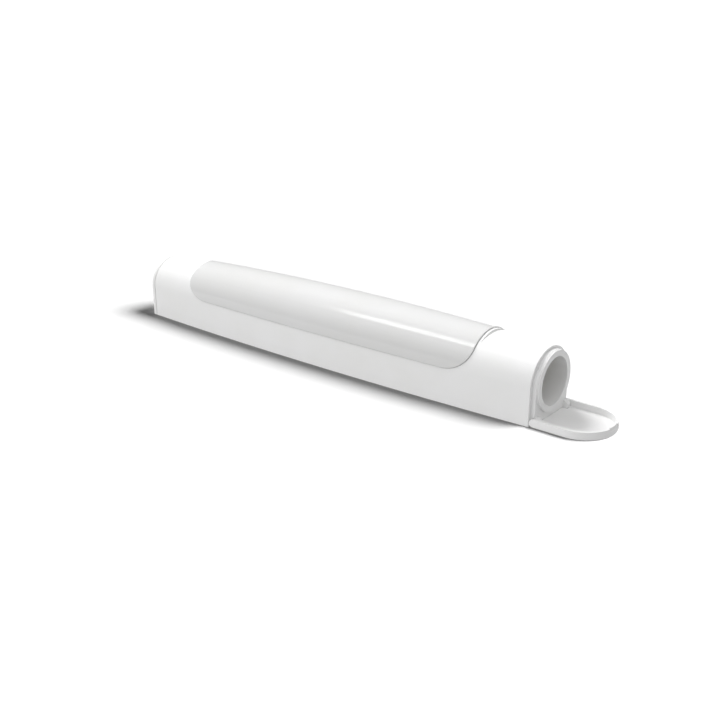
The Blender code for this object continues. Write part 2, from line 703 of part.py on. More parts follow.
def make_flap(white):
    """The hinged flap, a shallow D-shaped tray lying open with its rim up."""
    axis = HALF + HINGE_X
    low = HINGE_Z - FLAP_DEPTH / 2
    top = low + FLAP_DEPTH
    rings = []
    for n in range(5):
        turn = math.radians(90.0 * n / 4)
        z = low + FLAP_ROUND * (1.0 - math.cos(turn))
        plan = flap_plan(flap_outline(FLAP_ROUND * (1.0 - math.sin(turn))))
        rings.append([(x, y, z) for x, y in plan])
    rings.append([(x, y, top - 0.5) for x, y in flap_plan(flap_outline(0.0))])
    rings.append([(x, y, top) for x, y in flap_plan(flap_outline(0.5))])
    flap = loft("flap", rings, white)

    inner = step_outline(FLAP_GAP, HINGE_Z - FLAP_DEPTH, flats=False)
    cut(flap, prism("flap_tray", flap_plan(inner), "z", low + FLAP_FLOOR, top + 2.0))

    side = STEP_RADIUS + FLAP_GAP
    cut(flap, block("flap_sill", (axis - 9.0, -side, low - 2.0), (axis - 0.5, side, top + 2.0)))
    tip = axis + FLAP_TOP - HINGE_Z
    inner_tip = axis + BORE_HEIGHT + STEP_RADIUS + FLAP_GAP - HINGE_Z
    slope = PULL_CHAMFER / (tip - inner_tip)
    end = tip + 1.0
    above = top + 2.0
    wedge = [(inner_tip, top), (end, top - PULL_CHAMFER - slope), (end, above), (inner_tip, above)]
    cut(flap, prism("pull_chamfer", wedge, "y", -PULL_CHAMFER_WIDTH / 2, PULL_CHAMFER_WIDTH / 2))

    radius = FLAP_DEPTH / 2
    turns = [math.radians(degrees) for degrees in range(90, 271, 12)]
    arc = [(axis + radius * math.cos(t), HINGE_Z + radius * math.sin(t)) for t in turns]
    corner = [(axis, top + 2.0), (axis - 9.0, top + 2.0), (axis - 9.0, low - 2.0), (axis, low - 2.0)]
    cut(flap, prism("wall_end", arc + corner[::-1], "y", -50.0, 50.0))

    for sign, word in ((-1, "near"), (1, "far")):
        outer = sign * side
        inner_y = sign * (STEP_RADIUS - LUG_WIDTH - 0.6)
        near, far = sorted((outer, inner_y))
        reach = axis + LUG_RADIUS + 0.5
        cut(flap, block(f"lug_notch_{word}", (axis - 9.0, near, low - 2.0), (reach, far, top + 2.0)))
        start = (axis, sign * (side - 1.0), HINGE_Z)
        stations = straight(1.0 + PIN_REACH, PIN_RADIUS + 0.2)
        cut(flap, rod(f"pin_socket_{word}", start, (0, sign, 0), stations))
    return flap


def make_pins(steel):
    """The two hinge pins, from the lugs into the flap's walls."""
    for sign, word in ((-1, "near"), (1, "far")):
        inner = STEP_RADIUS - PIN_IN_LUG
        outer = STEP_RADIUS + FLAP_GAP + PIN_REACH - FIT_GAP
        start = (HALF + HINGE_X, sign * inner, HINGE_Z)
        rod(f"hinge_pin_{word}", start, (0, sign, 0), eased(outer - inner, PIN_RADIUS, 0.3), steel)


def make_contents(cloth, tape, foam):
    """The rolled blanket, its two pull tapes and the foam behind it."""
    rear = -HALF + 1.0
    bumper = straight(BUMPER_THICKNESS, BORE_RADIUS - 0.5)
    rod("rear_bumper", (rear, 0, BORE_HEIGHT), (1, 0, 0), bumper, foam, steps=32)
    front = RING_FACE_X - MOUTH_RECESS
    start = rear + BUMPER_THICKNESS + FIT_GAP
    stations = eased(front - start, ROLL_RADIUS, 1.5)
    roll = rod("blanket_roll", (start, 0, BORE_HEIGHT), (1, 0, 0), stations, cloth, steps=32)
    tabs = []
    for word, angle in zip(("upper", "lower"), TAB_ANGLES):
        tabs.append(make_tab(f"pull_tab_{word}", front + FIT_GAP, angle, tape))
    return [roll, *tabs]


def make_tab(name, start, angle, tape):
    """A tape doubled back on itself, lying along the bore's wall."""
    end = start + TAB_LENGTH
    outer = ROLL_RADIUS - 0.8
    middle = outer - TAB_THICKNESS - 0.35
    inner = middle - 0.7
    low = inner - TAB_THICKNESS
    profile = [(start, outer - TAB_THICKNESS), (start, outer), (end - 1.2, outer)]
    profile += [(end, (outer + low) / 2), (end - 1.2, low), (start + 3.0, low)]
    profile += [(start + 3.0, inner), (end - 2.2, inner), (end - 2.2, outer - TAB_THICKNESS)]
    rings = []
    steps = 8
    for n in range(steps + 1):
        turn = math.radians(angle - TAB_HALF_ANGLE + 2 * TAB_HALF_ANGLE * n / steps)
        y, z = math.cos(turn), math.sin(turn)
        rings.append([(x, radius * y, BORE_HEIGHT + radius * z) for x, radius in profile])
    return loft(name, rings, tape)


def on_axis(name, place, children):
    """Parents pieces to an empty on their joint's axis, leaving them where they are."""
    empty = bpy.data.objects.new(name, None)
    empty.location = Vector(place) * MM
    bpy.context.collection.objects.link(empty)
    for child in children:
        child.parent = empty
        child.matrix_parent_inverse = Matrix.Translation(-empty.location)


def main():
    """Builds every piece."""
    clear_scene()
    white = material("white_plastic", (0.86, 0.86, 0.87), 0.42)
    glossy = material("glossy_white_plastic", (0.88, 0.88, 0.89), 0.14)
    steel = material("zinc_steel", (0.62, 0.62, 0.64), 0.35, 1.0)
    cloth = material("glass_cloth", (0.85, 0.84, 0.80), 0.8)
    tape = material("black_tape", (0.03, 0.03, 0.03), 0.75)
    foam = material("grey_foam", (0.18, 0.18, 0.19), 0.9)

    make_housing(white)
    cover = make_cover(glossy)
    make_back_plate(white)
    make_screws(steel)
    make_end_cap(white)
    make_bezel(white)
    make_collar(white)
    make_tube(white)
    flap = make_flap(white)
    make_pins(steel)
    contents = make_contents(cloth, tape, foam)
    on_axis("flap_hinge_axis", (HALF + HINGE_X, 0, HINGE_Z), [flap])
    on_axis("blanket_pull_axis", (0, 0, BORE_HEIGHT), contents)
    on_axis("cover_lift_axis", (0, 0, SPRING_HEIGHT), [cover])


main()
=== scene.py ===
"""Fire blanket in its white wall container: the finished pieces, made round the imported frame.

The container lies on its flat back with the mouth at +X. Sizes are named in millimetres and turned
into metres where a mesh is made. Each sub-assembly is a class that builds and dresses its pieces.
"""

from __future__ import annotations

import json
import logging
import math
from dataclasses import dataclass, field
from enum import Enum
from typing import Callable, Sequence

import bmesh
import bpy
from mathutils import Matrix, Vector

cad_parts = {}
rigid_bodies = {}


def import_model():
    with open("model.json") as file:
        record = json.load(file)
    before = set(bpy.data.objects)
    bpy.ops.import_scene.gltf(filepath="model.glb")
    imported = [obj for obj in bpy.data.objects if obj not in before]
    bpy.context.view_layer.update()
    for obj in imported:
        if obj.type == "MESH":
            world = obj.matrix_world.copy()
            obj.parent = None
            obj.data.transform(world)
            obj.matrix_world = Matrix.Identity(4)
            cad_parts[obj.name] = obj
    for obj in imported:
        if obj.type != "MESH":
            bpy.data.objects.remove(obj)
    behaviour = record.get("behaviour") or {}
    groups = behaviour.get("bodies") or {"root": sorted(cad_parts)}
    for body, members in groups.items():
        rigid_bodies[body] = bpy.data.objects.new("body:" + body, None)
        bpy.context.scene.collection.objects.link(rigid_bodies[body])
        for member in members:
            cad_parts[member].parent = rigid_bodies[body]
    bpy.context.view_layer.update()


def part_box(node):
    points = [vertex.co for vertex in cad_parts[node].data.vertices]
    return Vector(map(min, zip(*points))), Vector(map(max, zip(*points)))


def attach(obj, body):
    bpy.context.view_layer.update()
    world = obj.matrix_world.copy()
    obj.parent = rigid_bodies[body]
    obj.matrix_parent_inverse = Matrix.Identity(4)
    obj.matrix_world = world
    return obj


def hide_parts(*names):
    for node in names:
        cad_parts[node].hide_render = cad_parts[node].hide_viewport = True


LOG = logging.getLogger("fire_blanket")
MM = 0.001
Point = tuple[float, float, float]
Face = tuple[int, ...]


class Body(Enum):
    """The rigid bodies that pieces ride on."""

    CONTAINER = "container"
    FLAP = "end_flap"
    BLANKET = "blanket"
    COVER = "cover"


class Lights(Enum):
    """What a lamp falls on. A flag keeps it off the rest, as in a studio."""

    FLOOR = "floor"
    MODEL = "model"


class Side(Enum):
    """The near side, towards -Y, and the far side."""

    NEAR = -1
    FAR = 1


def linear(code: str) -> tuple[float, float, float, float]:
    """Turns an sRGB hex colour into linear light.

    Args:
        code: A colour such as "#F2F2F0".

    Returns:
        Red, green, blue and an alpha of 1.
    """
    parts = [int(code[n : n + 2], 16) / 255 for n in (1, 3, 5)]
    red, green, blue = (p / 12.92 if p <= 0.04045 else ((p + 0.055) / 1.055) ** 2.4 for p in parts)
    return (red, green, blue, 1.0)


def add_node(tree: bpy.types.NodeTree, kind: str, links: dict | None = None, **settings) -> bpy.types.Node:
    """Adds one node with its settings and links.

    Args:
        tree: The tree that gets the node.
        kind: The node's type, such as "ShaderNodeTexNoise".
        links: Input name or number to the socket that feeds it, or to its value.
        settings: The node's own properties.

    Returns:
        The new node.
    """
    node = tree.nodes.new(kind)
    for name, value in settings.items():
        setattr(node, name, value)
    for key, value in (links or {}).items():
        if isinstance(value, bpy.types.NodeSocket):
            tree.links.new(value, node.inputs[key])
        else:
            node.inputs[key].default_value = value
    return node


# Finishes


@dataclass(frozen=True)
class Finish:
    """A real material and how its surface was made.

    Attributes:
        name: The material's plain name.
        slot: The record's material slot that it stands for. It is not used.
        colour: Its sRGB hex colour.
        roughness: Its typical roughness.
        ior: Its typical index of refraction.
    """

    name: str
    slot: str
    colour: str
    roughness: float
    ior: float = 1.5

    def material(self) -> bpy.types.Material:
        """Builds the material, or gives the one already made."""
        if self.name in bpy.data.materials:
            return bpy.data.materials[self.name]
        made = bpy.data.materials.new(self.name)
        made.use_nodes = True
        shader = made.node_tree.nodes["Principled BSDF"]
        shader.inputs["Base Color"].default_value = linear(self.colour)
        shader.inputs["Roughness"].default_value = self.roughness
        shader.inputs["IOR"].default_value = self.ior
        self.pattern(made.node_tree, shader)
        return made

    def pattern(self, tree: bpy.types.NodeTree, shader: bpy.types.Node) -> None:
        """Adds what the surface shows. A plain finish adds nothing.

        Args:
            tree: The material's tree.
            shader: Its Principled shader.
        """

    def dress(self, piece: bpy.types.Object) -> None:
        """Puts the material on every slot of a piece."""
        piece.data.materials.clear()
        piece.data.materials.append(self.material())


def vary(
    tree: bpy.types.NodeTree, place: bpy.types.NodeSocket, size_mm: float, detail: float = 2.0
) -> bpy.types.Node:
    """Adds a noise whose blotches are about size_mm across.

    Args:
        tree: The material's tree.
        place: The coordinates that it reads.
        size_mm: The width of one blotch.
        detail: How much finer structure it carries.

    Returns:
        The noise node.
    """
    links = {"Vector": place, "Scale": 1.0 / (size_mm * MM), "Detail": detail, "Roughness": 0.55}
    return add_node(tree, "ShaderNodeTexNoise", links)


def spread(
    tree: bpy.types.NodeTree, factor: bpy.types.NodeSocket,
    low: float, high: float, start: float = 0.3, end: float = 0.7
) -> bpy.types.Node:
    """Adds a range that turns a factor from start to end into low to high.

    Args:
        tree: The material's tree.
        factor: The value that varies.
        low: The result at start.
        high: The result at end.
        start: The factor that gives low.
        end: The factor that gives high.

    Returns:
        The map range node.
    """
    links = {"Value": factor, "From Min": start, "From Max": end, "To Min": low, "To Max": high}
    return add_node(tree, "ShaderNodeMapRange", links)


def blend_colours(
    tree: bpy.types.NodeTree, shader: bpy.types.Node, factor: bpy.types.NodeSocket, first: str, second: str
) -> None:
    """Colours the shader by a factor between two sRGB hex colours.

    Args:
        tree: The material's tree.
        shader: The shader that takes the colour.
        factor: 0 gives the first colour and 1 the second.
        first: The first colour.
        second: The second colour.
    """
    mix = tree.nodes.new("ShaderNodeMix")
    mix.data_type = "RGBA"
    tree.links.new(factor, mix.inputs[0])
    mix.inputs[6].default_value = linear(first)
    mix.inputs[7].default_value = linear(second)
    tree.links.new(mix.outputs[2], shader.inputs["Base Color"])


@dataclass(frozen=True)
class SatinAbs(Finish):
    """Injection-moulded ABS from a spark-eroded tool: an even white with a fine dry grain.

    Attributes:
        warm: The slightly warmer white of thicker or more handled places.
        grain_mm: The grain's width, drawn about three times as coarse as it is so that it shows.
        grain_depth: The strength of the grain's bump.
    """

    warm: str = "#EDEDEC"
    grain_mm: float = 0.9
    grain_depth: float = 0.05

    def pattern(self, tree: bpy.types.NodeTree, shader: bpy.types.Node) -> None:
        """Adds the grain, a faint flow variation and the polish that handling leaves."""
        place = add_node(tree, "ShaderNodeTexCoord").outputs["Object"]
        grain = vary(tree, place, self.grain_mm)
        flow = vary(tree, place, 55.0, 3.0)
        polish = vary(tree, place, 14.0, 4.0)
        amount = spread(tree, flow.outputs["Fac"], 0.0, 1.0, 0.35, 0.7)
        blend_colours(tree, shader, amount.outputs[0], self.colour, self.warm)
        rough = spread(tree, polish.outputs["Fac"], self.roughness - 0.05, self.roughness + 0.06)
        tree.links.new(rough.outputs[0], shader.inputs["Roughness"])
        links = {"Height": grain.outputs["Fac"], "Strength": self.grain_depth, "Distance": 0.0001}
        bump = add_node(tree, "ShaderNodeBump", links)
        tree.links.new(bump.outputs[0], shader.inputs["Normal"])


@dataclass(frozen=True)
class GlossyAbs(Finish):
    """ABS from a polished tool: a wet-looking white with the slight ripple of a cooled moulding."""

    def pattern(self, tree: bpy.types.NodeTree, shader: bpy.types.Node) -> None:
        """Adds the ripple, about 9 mm from crest to crest, and faint wiping marks in the gloss."""
        place = add_node(tree, "ShaderNodeTexCoord").outputs["Object"]
        ripple = vary(tree, place, 9.0, 1.0)
        along = add_node(tree, "ShaderNodeMapping", {"Vector": place, "Scale": (0.12, 1.0, 1.0)})
        wiping = vary(tree, along.outputs[0], 3.0, 5.0)
        rough = spread(tree, wiping.outputs["Fac"], self.roughness - 0.02, self.roughness + 0.05)
        tree.links.new(rough.outputs[0], shader.inputs["Roughness"])
        flow = vary(tree, place, 70.0)
        amount = spread(tree, flow.outputs["Fac"], 0.0, 1.0, 0.35, 0.7)
        blend_colours(tree, shader, amount.outputs[0], self.colour, "#D7D7D6")
        links = {"Height": ripple.outputs["Fac"], "Strength": 0.02, "Distance": 0.0002}
        bump = add_node(tree, "ShaderNodeBump", links)
        tree.links.new(bump.outputs[0], shader.inputs["Normal"])


@dataclass(frozen=True)
class ZincSteel(Finish):
    """Steel with bright zinc plating: cool grey, with a mottled sheen where the plating grew."""

    def pattern(self, tree: bpy.types.NodeTree, shader: bpy.types.Node) -> None:
        """Adds the plating's mottle, about 1.2 mm wide, and dull spots of oxide."""
        shader.inputs["Metallic"].default_value = 1.0
        place = add_node(tree, "ShaderNodeTexCoord").outputs["Object"]
        mottle = vary(tree, place, 1.2, 4.0)
        rough = spread(tree, mottle.outputs["Fac"], self.roughness - 0.08, self.roughness + 0.14)
        tree.links.new(rough.outputs[0], shader.inputs["Roughness"])
        blend_colours(tree, shader, mottle.outputs["Fac"], self.colour, "#A9ADB2")
        links = {"Height": mottle.outputs["Fac"], "Strength": 0.08, "Distance": 0.0001}
        tree.links.new(add_node(tree, "ShaderNodeBump", links).outputs[0], shader.inputs["Normal"])


@dataclass(frozen=True)
class WovenCloth(Finish):
    """A plain weave that follows the piece's own UV map, which is in metres.

    Attributes:
        thread_mm: The spacing of its threads.
        second: The darker colour painted into the hollows of the weave as shade, mixed with a random
            unevenness.
        depth: The strength of the weave's bump.
        ribbed: True where one thread direction stands out, as on webbing.
    """

    thread_mm: float = 1.3
    second: str = "#D9D5C8"
    depth: float = 0.5
    ribbed: bool = False

    def pattern(self, tree: bpy.types.NodeTree, shader: bpy.types.Node) -> None:
        """Adds crossing threads with painted shade in the hollows between them, a little unevenness and a
        soft fuzz of broken fibres.
        """
        shader.inputs["Sheen Weight"].default_value = 0.15
        shader.inputs["Sheen Roughness"].default_value = 0.4
        place = add_node(tree, "ShaderNodeTexCoord").outputs["UV"]
        wobble = vary(tree, place, 30.0, 2.0)
        # A wave texture repeats every 2 pi / 20 units at scale 1.
        scale = math.tau / 20.0 / (self.thread_mm * MM)
        waves = []
        for direction in ("X", "Y"):
            links = {"Vector": place, "Scale": scale, "Distortion": 0.25, "Detail": 1.0}
            waves.append(add_node(tree, "ShaderNodeTexWave", links, bands_direction=direction))
        if self.ribbed:
            weave = waves[1]
        else:
            links = {0: waves[0].outputs["Fac"], 1: waves[1].outputs["Fac"]}
            weave = add_node(tree, "ShaderNodeMath", links, operation="MULTIPLY")
        uneven = add_node(
            tree, "ShaderNodeMath", {0: weave.outputs["Fac" if self.ribbed else 0]}, operation="ADD"
        )
        tree.links.new(wobble.outputs["Fac"], uneven.inputs[1])
        # The weave's hollows, low in the bump, take the darker colour as painted shade; the noise adds a
        # real, random unevenness.
        amount = spread(tree, uneven.outputs[0], 0.0, 1.0, 0.3, 1.3)
        blend_colours(tree, shader, amount.outputs[0], self.second, self.colour)
        links = {
            "Height": weave.outputs["Fac" if self.ribbed else 0], "Strength": self.depth, "Distance": 0.0004
        }
        tree.links.new(add_node(tree, "ShaderNodeBump", links).outputs[0], shader.inputs["Normal"])


@dataclass(frozen=True)
class CellFoam(Finish):
    """Open-cell polyurethane foam: matt grey with cells about 1.5 mm wide."""

    def pattern(self, tree: bpy.types.NodeTree, shader: bpy.types.Node) -> None:
        """Adds the cells, with painted shade darkening the pit of each cell."""
        place = add_node(tree, "ShaderNodeTexCoord").outputs["Object"]
        cells = add_node(tree, "ShaderNodeTexVoronoi", {"Vector": place, "Scale": 1.0 / (1.5 * MM)})
        # Each cell's pit, low in the bump, is darkened towards #3E4043 as painted shade.
        amount = spread(tree, cells.outputs["Distance"], 0.0, 1.0, 0.0, 0.8)
        blend_colours(tree, shader, amount.outputs[0], "#3E4043", self.colour)
        links = {"Height": cells.outputs["Distance"], "Strength": 0.6, "Distance": 0.0008}
        tree.links.new(add_node(tree, "ShaderNodeBump", links).outputs[0], shader.inputs["Normal"])


SATIN_WHITE = SatinAbs("satin_white_abs", "white_plastic", "#F0F0F0", 0.42, 1.54)
# A darker copy of the satin white ABS for the tube liner, the spigot, the back and the saddles: painted shade
# for the inside of the bore and the shell.
SHADED_INNER_WHITE = SatinAbs("unpolished_white_abs", "white_plastic", "#D8D8D6", 0.5, 1.54, warm="#D2D2CF")
GLOSS_WHITE = GlossyAbs("glossy_white_abs", "glossy_white_plastic", "#D9D9D9", 0.12, 1.54)
ZINC = ZincSteel("zinc_plated_steel", "zinc_steel", "#C3C7CB", 0.3)
GLASS_CLOTH = WovenCloth("woven_glass_cloth", "glass_cloth", "#EFEBDF", 0.72, 1.5)
WEBBING = WovenCloth(
    "black_polyester_webbing", "black_tape", "#26272A", 0.6,
    1.5, thread_mm=1.1, second="#0D0D0F", depth=0.7, ribbed=True
)
THREAD = WovenCloth(
    "cream_sewing_thread", "glass_cloth", "#E4DFCF", 0.6, 1.5, thread_mm=0.5, second="#BDB7A4"
)
FOAM = CellFoam("grey_open_cell_foam", "grey_foam", "#6A6D71", 0.95, 1.45)


# Mesh making


def make_piece(
    name: str, points: list[Point], faces: list[Face],
    finish: Finish, sharp: float = 40.0, recalculate: bool = True
) -> bpy.types.Object:
    """Makes an object at the origin from points in millimetres, smooth but for its sharp edges.

    Args:
        name: The piece's name.
        points: Its points, in millimetres.
        faces: Its faces, as point numbers.
        finish: What it is made of.
        sharp: The angle in degrees from which an edge is sharp.
        recalculate: True to merge doubles and turn its faces outwards.

    Returns:
        The linked object.
    """
    mesh = bpy.data.meshes.new(name)
    mesh.from_pydata([tuple(c * MM for c in point) for point in points], [], faces)
    if recalculate:
        tidy_mesh(mesh)
    mesh.shade_smooth()
    mesh.set_sharp_from_angle(angle=math.radians(sharp))
    piece = bpy.data.objects.new(name, mesh)
    bpy.context.scene.collection.objects.link(piece)
    finish.dress(piece)
    return piece


def tidy_mesh(mesh: bpy.types.Mesh) -> None:
    """Merges doubled points and turns the faces outwards."""
    work = bmesh.new()
    work.from_mesh(mesh)
    bmesh.ops.remove_doubles(work, verts=work.verts, dist=1e-6)
    bmesh.ops.recalc_face_normals(work, faces=work.faces)
    work.to_mesh(mesh)
    work.free()


def band(
    points: list[Point], faces: list[Face], rings: list[list[Point]], closed: bool = True, caps: bool = True
) -> None:
    """Adds a skin through rings of equal count to a list of points and faces.

    Args:
        points: The points so far.
        faces: The faces so far.
        rings: The rings, in order.
        closed: True if each ring closes on itself.
        caps: True to close the first and last ring with a face.
    """
    base, count = len(points), len(rings[0])
    for ring in rings:
        points.extend(ring)
    for i in range(len(rings) - 1):
        for j in range(count if closed else count - 1):
            k = (j + 1) % count
            low, high = base + i * count, base + (i + 1) * count
            faces.append((low + j, low + k, high + k, high + j))
    if caps:
        faces.append(tuple(range(base, base + count)))
        faces.append(tuple(range(base + (len(rings) - 1) * count, base + len(rings) * count)))


def lathe(
    points: list[Point], faces: list[Face], profile: list[
        tuple[float, float]
    ], height: float, steps: int = 128
) -> None:
    """Adds a ring turned about the tube's axis from a closed (x, radius) profile."""
    rings = []
    for n in range(steps + 1):
        turn = math.tau * n / steps
        rings.append([(x, r * math.cos(turn), height + r * math.sin(turn)) for x, r in profile])
    band(points, faces, rings, caps=False)


def eased(
    corner: tuple[float, float], before: tuple[float, float], after: tuple[float, float], radius: float
) -> list:
    """Rounds one corner of a profile.

    Args:
        corner: The corner's place.
        before: The profile's point before it.
        after: The point after it.
        radius: How far the rounding reaches along each side.

    Returns:
        The points that replace the corner.
    """
    start = Vector(corner) + (Vector(before) - Vector(corner)).normalized() * radius
    end = Vector(corner) + (Vector(after) - Vector(corner)).normalized() * radius
    made = []
    for n in range(4):
        t = n / 3
        made.append(tuple(start * (1 - t) ** 2 + Vector(corner) * 2 * t * (1 - t) + end * t**2))
    return made


def round_profile(corners: list[tuple[float, float, float]]) -> list[tuple[float, float]]:
    """Turns (a, b, rounding) corners of a closed profile into its rounded outline."""
    made: list[tuple[float, float]] = []
    for n, (a, b, radius) in enumerate(corners):
        if radius <= 0:
            made.append((a, b))
            continue
        before, after = corners[n - 1][:2], corners[(n + 1) % len(corners)][:2]
        made += eased((a, b), before, after, radius)
    return made


def weigh_normals(piece: bpy.types.Object) -> None:
    """Lets large faces set the shading, so that small roundings don't smear it."""
    made = piece.modifiers.new("weighted", "WEIGHTED_NORMAL")
    made.keep_sharp = True
    made.weight = 60


def bake(piece: bpy.types.Object) -> bpy.types.Object:
    """Applies a piece's modifiers to its mesh."""
    graph = bpy.context.evaluated_depsgraph_get()
    mesh = bpy.data.meshes.new_from_object(
        piece.evaluated_get(graph), preserve_all_data_layers=True, depsgraph=graph
    )
    old = piece.data
    piece.modifiers.clear()
    piece.data = mesh
    mesh.name = piece.name
    bpy.data.meshes.remove(old)
    return piece


def place_piece(piece: bpy.types.Object, body: Body, finish: Finish, *nodes: str) -> None:
    """Rides a piece on its body and hides the nodes that it stands for.

    Args:
        piece: The finished piece.
        body: The body that carries it.
        finish: What the piece is made of. It is not used.
        nodes: The CAD nodes that it replaces.
    """
    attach(piece, body.value)
    if nodes:
        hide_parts(*nodes)
    LOG.info("%s: %d faces on %s", piece.name, len(piece.data.polygons), body.value)


# Geometry Nodes


class Tree:
    """A Geometry Nodes tree with named inputs.

    Attributes:
        group: The node group.
        start: Its input node.
    """

    def __init__(self, name: str, inputs: dict[str, str]) -> None:
        """Makes the tree.

        Args:
            name: The tree's name.
            inputs: Input name to socket type, after the geometry.
        """
        self.group = bpy.data.node_groups.new(name, "GeometryNodeTree")
        self.ids: dict[str, str] = {}
        self.group.interface.new_socket("Geometry", in_out="INPUT", socket_type="NodeSocketGeometry")
        self.group.interface.new_socket("Geometry", in_out="OUTPUT", socket_type="NodeSocketGeometry")
        for label, kind in inputs.items():
            made = self.group.interface.new_socket(label, in_out="INPUT", socket_type=kind)
            self.ids[label] = made.identifier
        self.start = self.group.nodes.new("NodeGroupInput")

    def finish(self, geometry: bpy.types.NodeSocket) -> None:
        """Ends the tree in Realize Instances and Set Material."""
        real = add_node(self.group, "GeometryNodeRealizeInstances", {"Geometry": geometry})
        links = {"Geometry": real.outputs[0], "Material": self.start.outputs["Finish"]}
        painted = add_node(self.group, "GeometryNodeSetMaterial", links)
        add_node(self.group, "NodeGroupOutput", {"Geometry": painted.outputs[0]})

    def put_on(self, piece: bpy.types.Object, values: dict[str, object]) -> None:
        """Adds the tree to a piece and sets its inputs by their identifiers.

        Args:
            piece: The piece that gets the modifier.
            values: Input name to value.
        """
        modifier = piece.modifiers.new(self.group.name, "NODES")
        modifier.node_group = self.group
        for label, value in values.items():
            modifier[self.ids[label]] = value


def swelling_tree() -> Tree:
    """The rule of the body's shape: it swells in a parabola towards the middle of its length."""
    inputs = {
        "Half length": "NodeSocketFloat", "Side swell": "NodeSocketFloat", "Top swell": "NodeSocketFloat"
    }
    tree = Tree("swell_to_middle", {**inputs, "Finish": "NodeSocketMaterial"})
    group, start = tree.group, tree.start
    place = add_node(group, "GeometryNodeInputPosition")
    x = add_node(group, "ShaderNodeSeparateXYZ", {0: place.outputs[0]}).outputs["X"]
    share = add_node(group, "ShaderNodeMath", {0: x, 1: start.outputs["Half length"]}, operation="DIVIDE")
    square = add_node(
        group, "ShaderNodeMath", {0: share.outputs[0], 1: share.outputs[0]}, operation="MULTIPLY"
    )
    rise = add_node(
        group, "ShaderNodeMath", {0: 1.0, 1: square.outputs[0]}, operation="SUBTRACT", use_clamp=True
    )
    outward = add_node(
        group, "GeometryNodeInputNamedAttribute", {"Name": "outward"}, data_type="FLOAT_VECTOR"
    )
    sizes = {"Y": start.outputs["Side swell"], "Z": start.outputs["Top swell"]}
    reach = add_node(group, "ShaderNodeCombineXYZ", sizes)
    product = {0: outward.outputs[0], 1: reach.outputs[0]}
    moved = add_node(group, "ShaderNodeVectorMath", product, operation="MULTIPLY")
    scaled = add_node(group, "ShaderNodeVectorMath", {0: moved.outputs[0]}, operation="SCALE")
    group.links.new(rise.outputs[0], scaled.inputs["Scale"])
    links = {"Geometry": start.outputs["Geometry"], "Offset": scaled.outputs[0]}
    tree.finish(add_node(group, "GeometryNodeSetPosition", links).outputs[0])
    return tree


def fixing_tree() -> Tree:
    """Puts one fixing on every point, turned as the point's own attribute says."""
    tree = Tree(
        "fixings_on_points",
        {"Fixing": "NodeSocketObject", "Size": "NodeSocketFloat", "Finish": "NodeSocketMaterial"}
    )
    group, start = tree.group, tree.start
    shape = add_node(
        group, "GeometryNodeObjectInfo", {"Object": start.outputs["Fixing"]}, transform_space="ORIGINAL"
    )
    dots = add_node(group, "GeometryNodeMeshToPoints", {"Mesh": start.outputs["Geometry"]})
    turn = add_node(group, "GeometryNodeInputNamedAttribute", {"Name": "turn"}, data_type="FLOAT_VECTOR")
    links = {"Points": dots.outputs[0], "Instance": shape.outputs["Geometry"], "Rotation": turn.outputs[0]}
    placed = add_node(group, "GeometryNodeInstanceOnPoints", links)
    group.links.new(start.outputs["Size"], placed.inputs["Scale"])
    tree.finish(placed.outputs[0])
    return tree


def stitching_tree() -> Tree:
    """Lays stitches along a path at an even spacing, each turned to follow it."""
    kinds = {"Stitch": "NodeSocketObject", "Spacing": "NodeSocketFloat", "Finish": "NodeSocketMaterial"}
    tree = Tree("stitches_on_path", kinds)
    group, start = tree.group, tree.start
    path = add_node(group, "GeometryNodeMeshToCurve", {"Mesh": start.outputs["Geometry"]})
    even = add_node(group, "GeometryNodeResampleCurve", {"Curve": path.outputs[0]})
    if "Mode" in even.inputs:
        even.inputs["Mode"].default_value = "Length"
    else:
        even.mode = "LENGTH"
    group.links.new(start.outputs["Spacing"], even.inputs["Length"])
    tangent = add_node(group, "GeometryNodeInputTangent")
    turn = add_node(group, "FunctionNodeAlignRotationToVector", {"Vector": tangent.outputs[0]}, axis="X")
    shape = add_node(
        group, "GeometryNodeObjectInfo", {"Object": start.outputs["Stitch"]}, transform_space="ORIGINAL"
    )
    links = {"Points": even.outputs[0], "Instance": shape.outputs["Geometry"], "Rotation": turn.outputs[0]}
    tree.finish(add_node(group, "GeometryNodeInstanceOnPoints", links).outputs[0])
    return tree


# The body


@dataclass
class BodyForm:
    """The D-shaped section of the container at its ends, and how much it swells.

    Attributes:
        half: Half its length.
        half_width: Half its width at the ends.
        spring: The height where the straight sides end and the arch starts.
        rise: The arch's height above that, at the ends.
        side_swell: How much wider each side is in the middle.
        top_swell: How much higher the arch is in the middle.
        wall: The shell's wall.
        degree: Millimetres of arch for one degree.
    """

    half: float = 300.0
    half_width: float = 39.3
    spring: float = 41.3
    rise: float = 36.7
    side_swell: float = 7.9
    top_swell: float = 8.2
    wall: float = 3.0
    degree: float = 0.79

    def at(self, x: float, turn: float, inset: float = 0.0) -> tuple[Point, Point]:
        """A point of the constant section, and the way it moves as the body swells.

        Args:
            x: The place along the body.
            turn: Degrees over the arch from the near spring line. Past 0 and 180 it runs down the sides.
            inset: The depth below the surface.

        Returns:
            The point, and its outward share across and up.
        """
        over = min(180.0, max(0.0, turn))
        across, up = -math.cos(math.radians(over)), math.sin(math.radians(over))
        below = self.degree * (turn if turn < 0 else max(0.0, turn - 180.0))
        height = self.spring + (self.rise - inset) * up - abs(below)
        return (x, (self.half_width - inset) * across, height), (0.0, across, up)

    def outline(self, inset: float, bottom: float, steps: int = 96) -> list[tuple[float, float]]:
        """The closed D outline at an end, as (y, z) pairs from the near bottom corner."""
        width, rise = self.half_width - inset, self.rise - inset
        climb = [bottom + (self.spring - bottom) * n / 6 for n in range(6)]
        made = [(-width, z) for z in climb]
        for n in range(steps + 1):
            turn = math.pi * n / steps
            made.append((-width * math.cos(turn), self.spring + rise * math.sin(turn)))
        made += [(width, z) for z in reversed(climb)]
        return made + [(width * (1.0 - n / 8), bottom) for n in range(1, 16)]


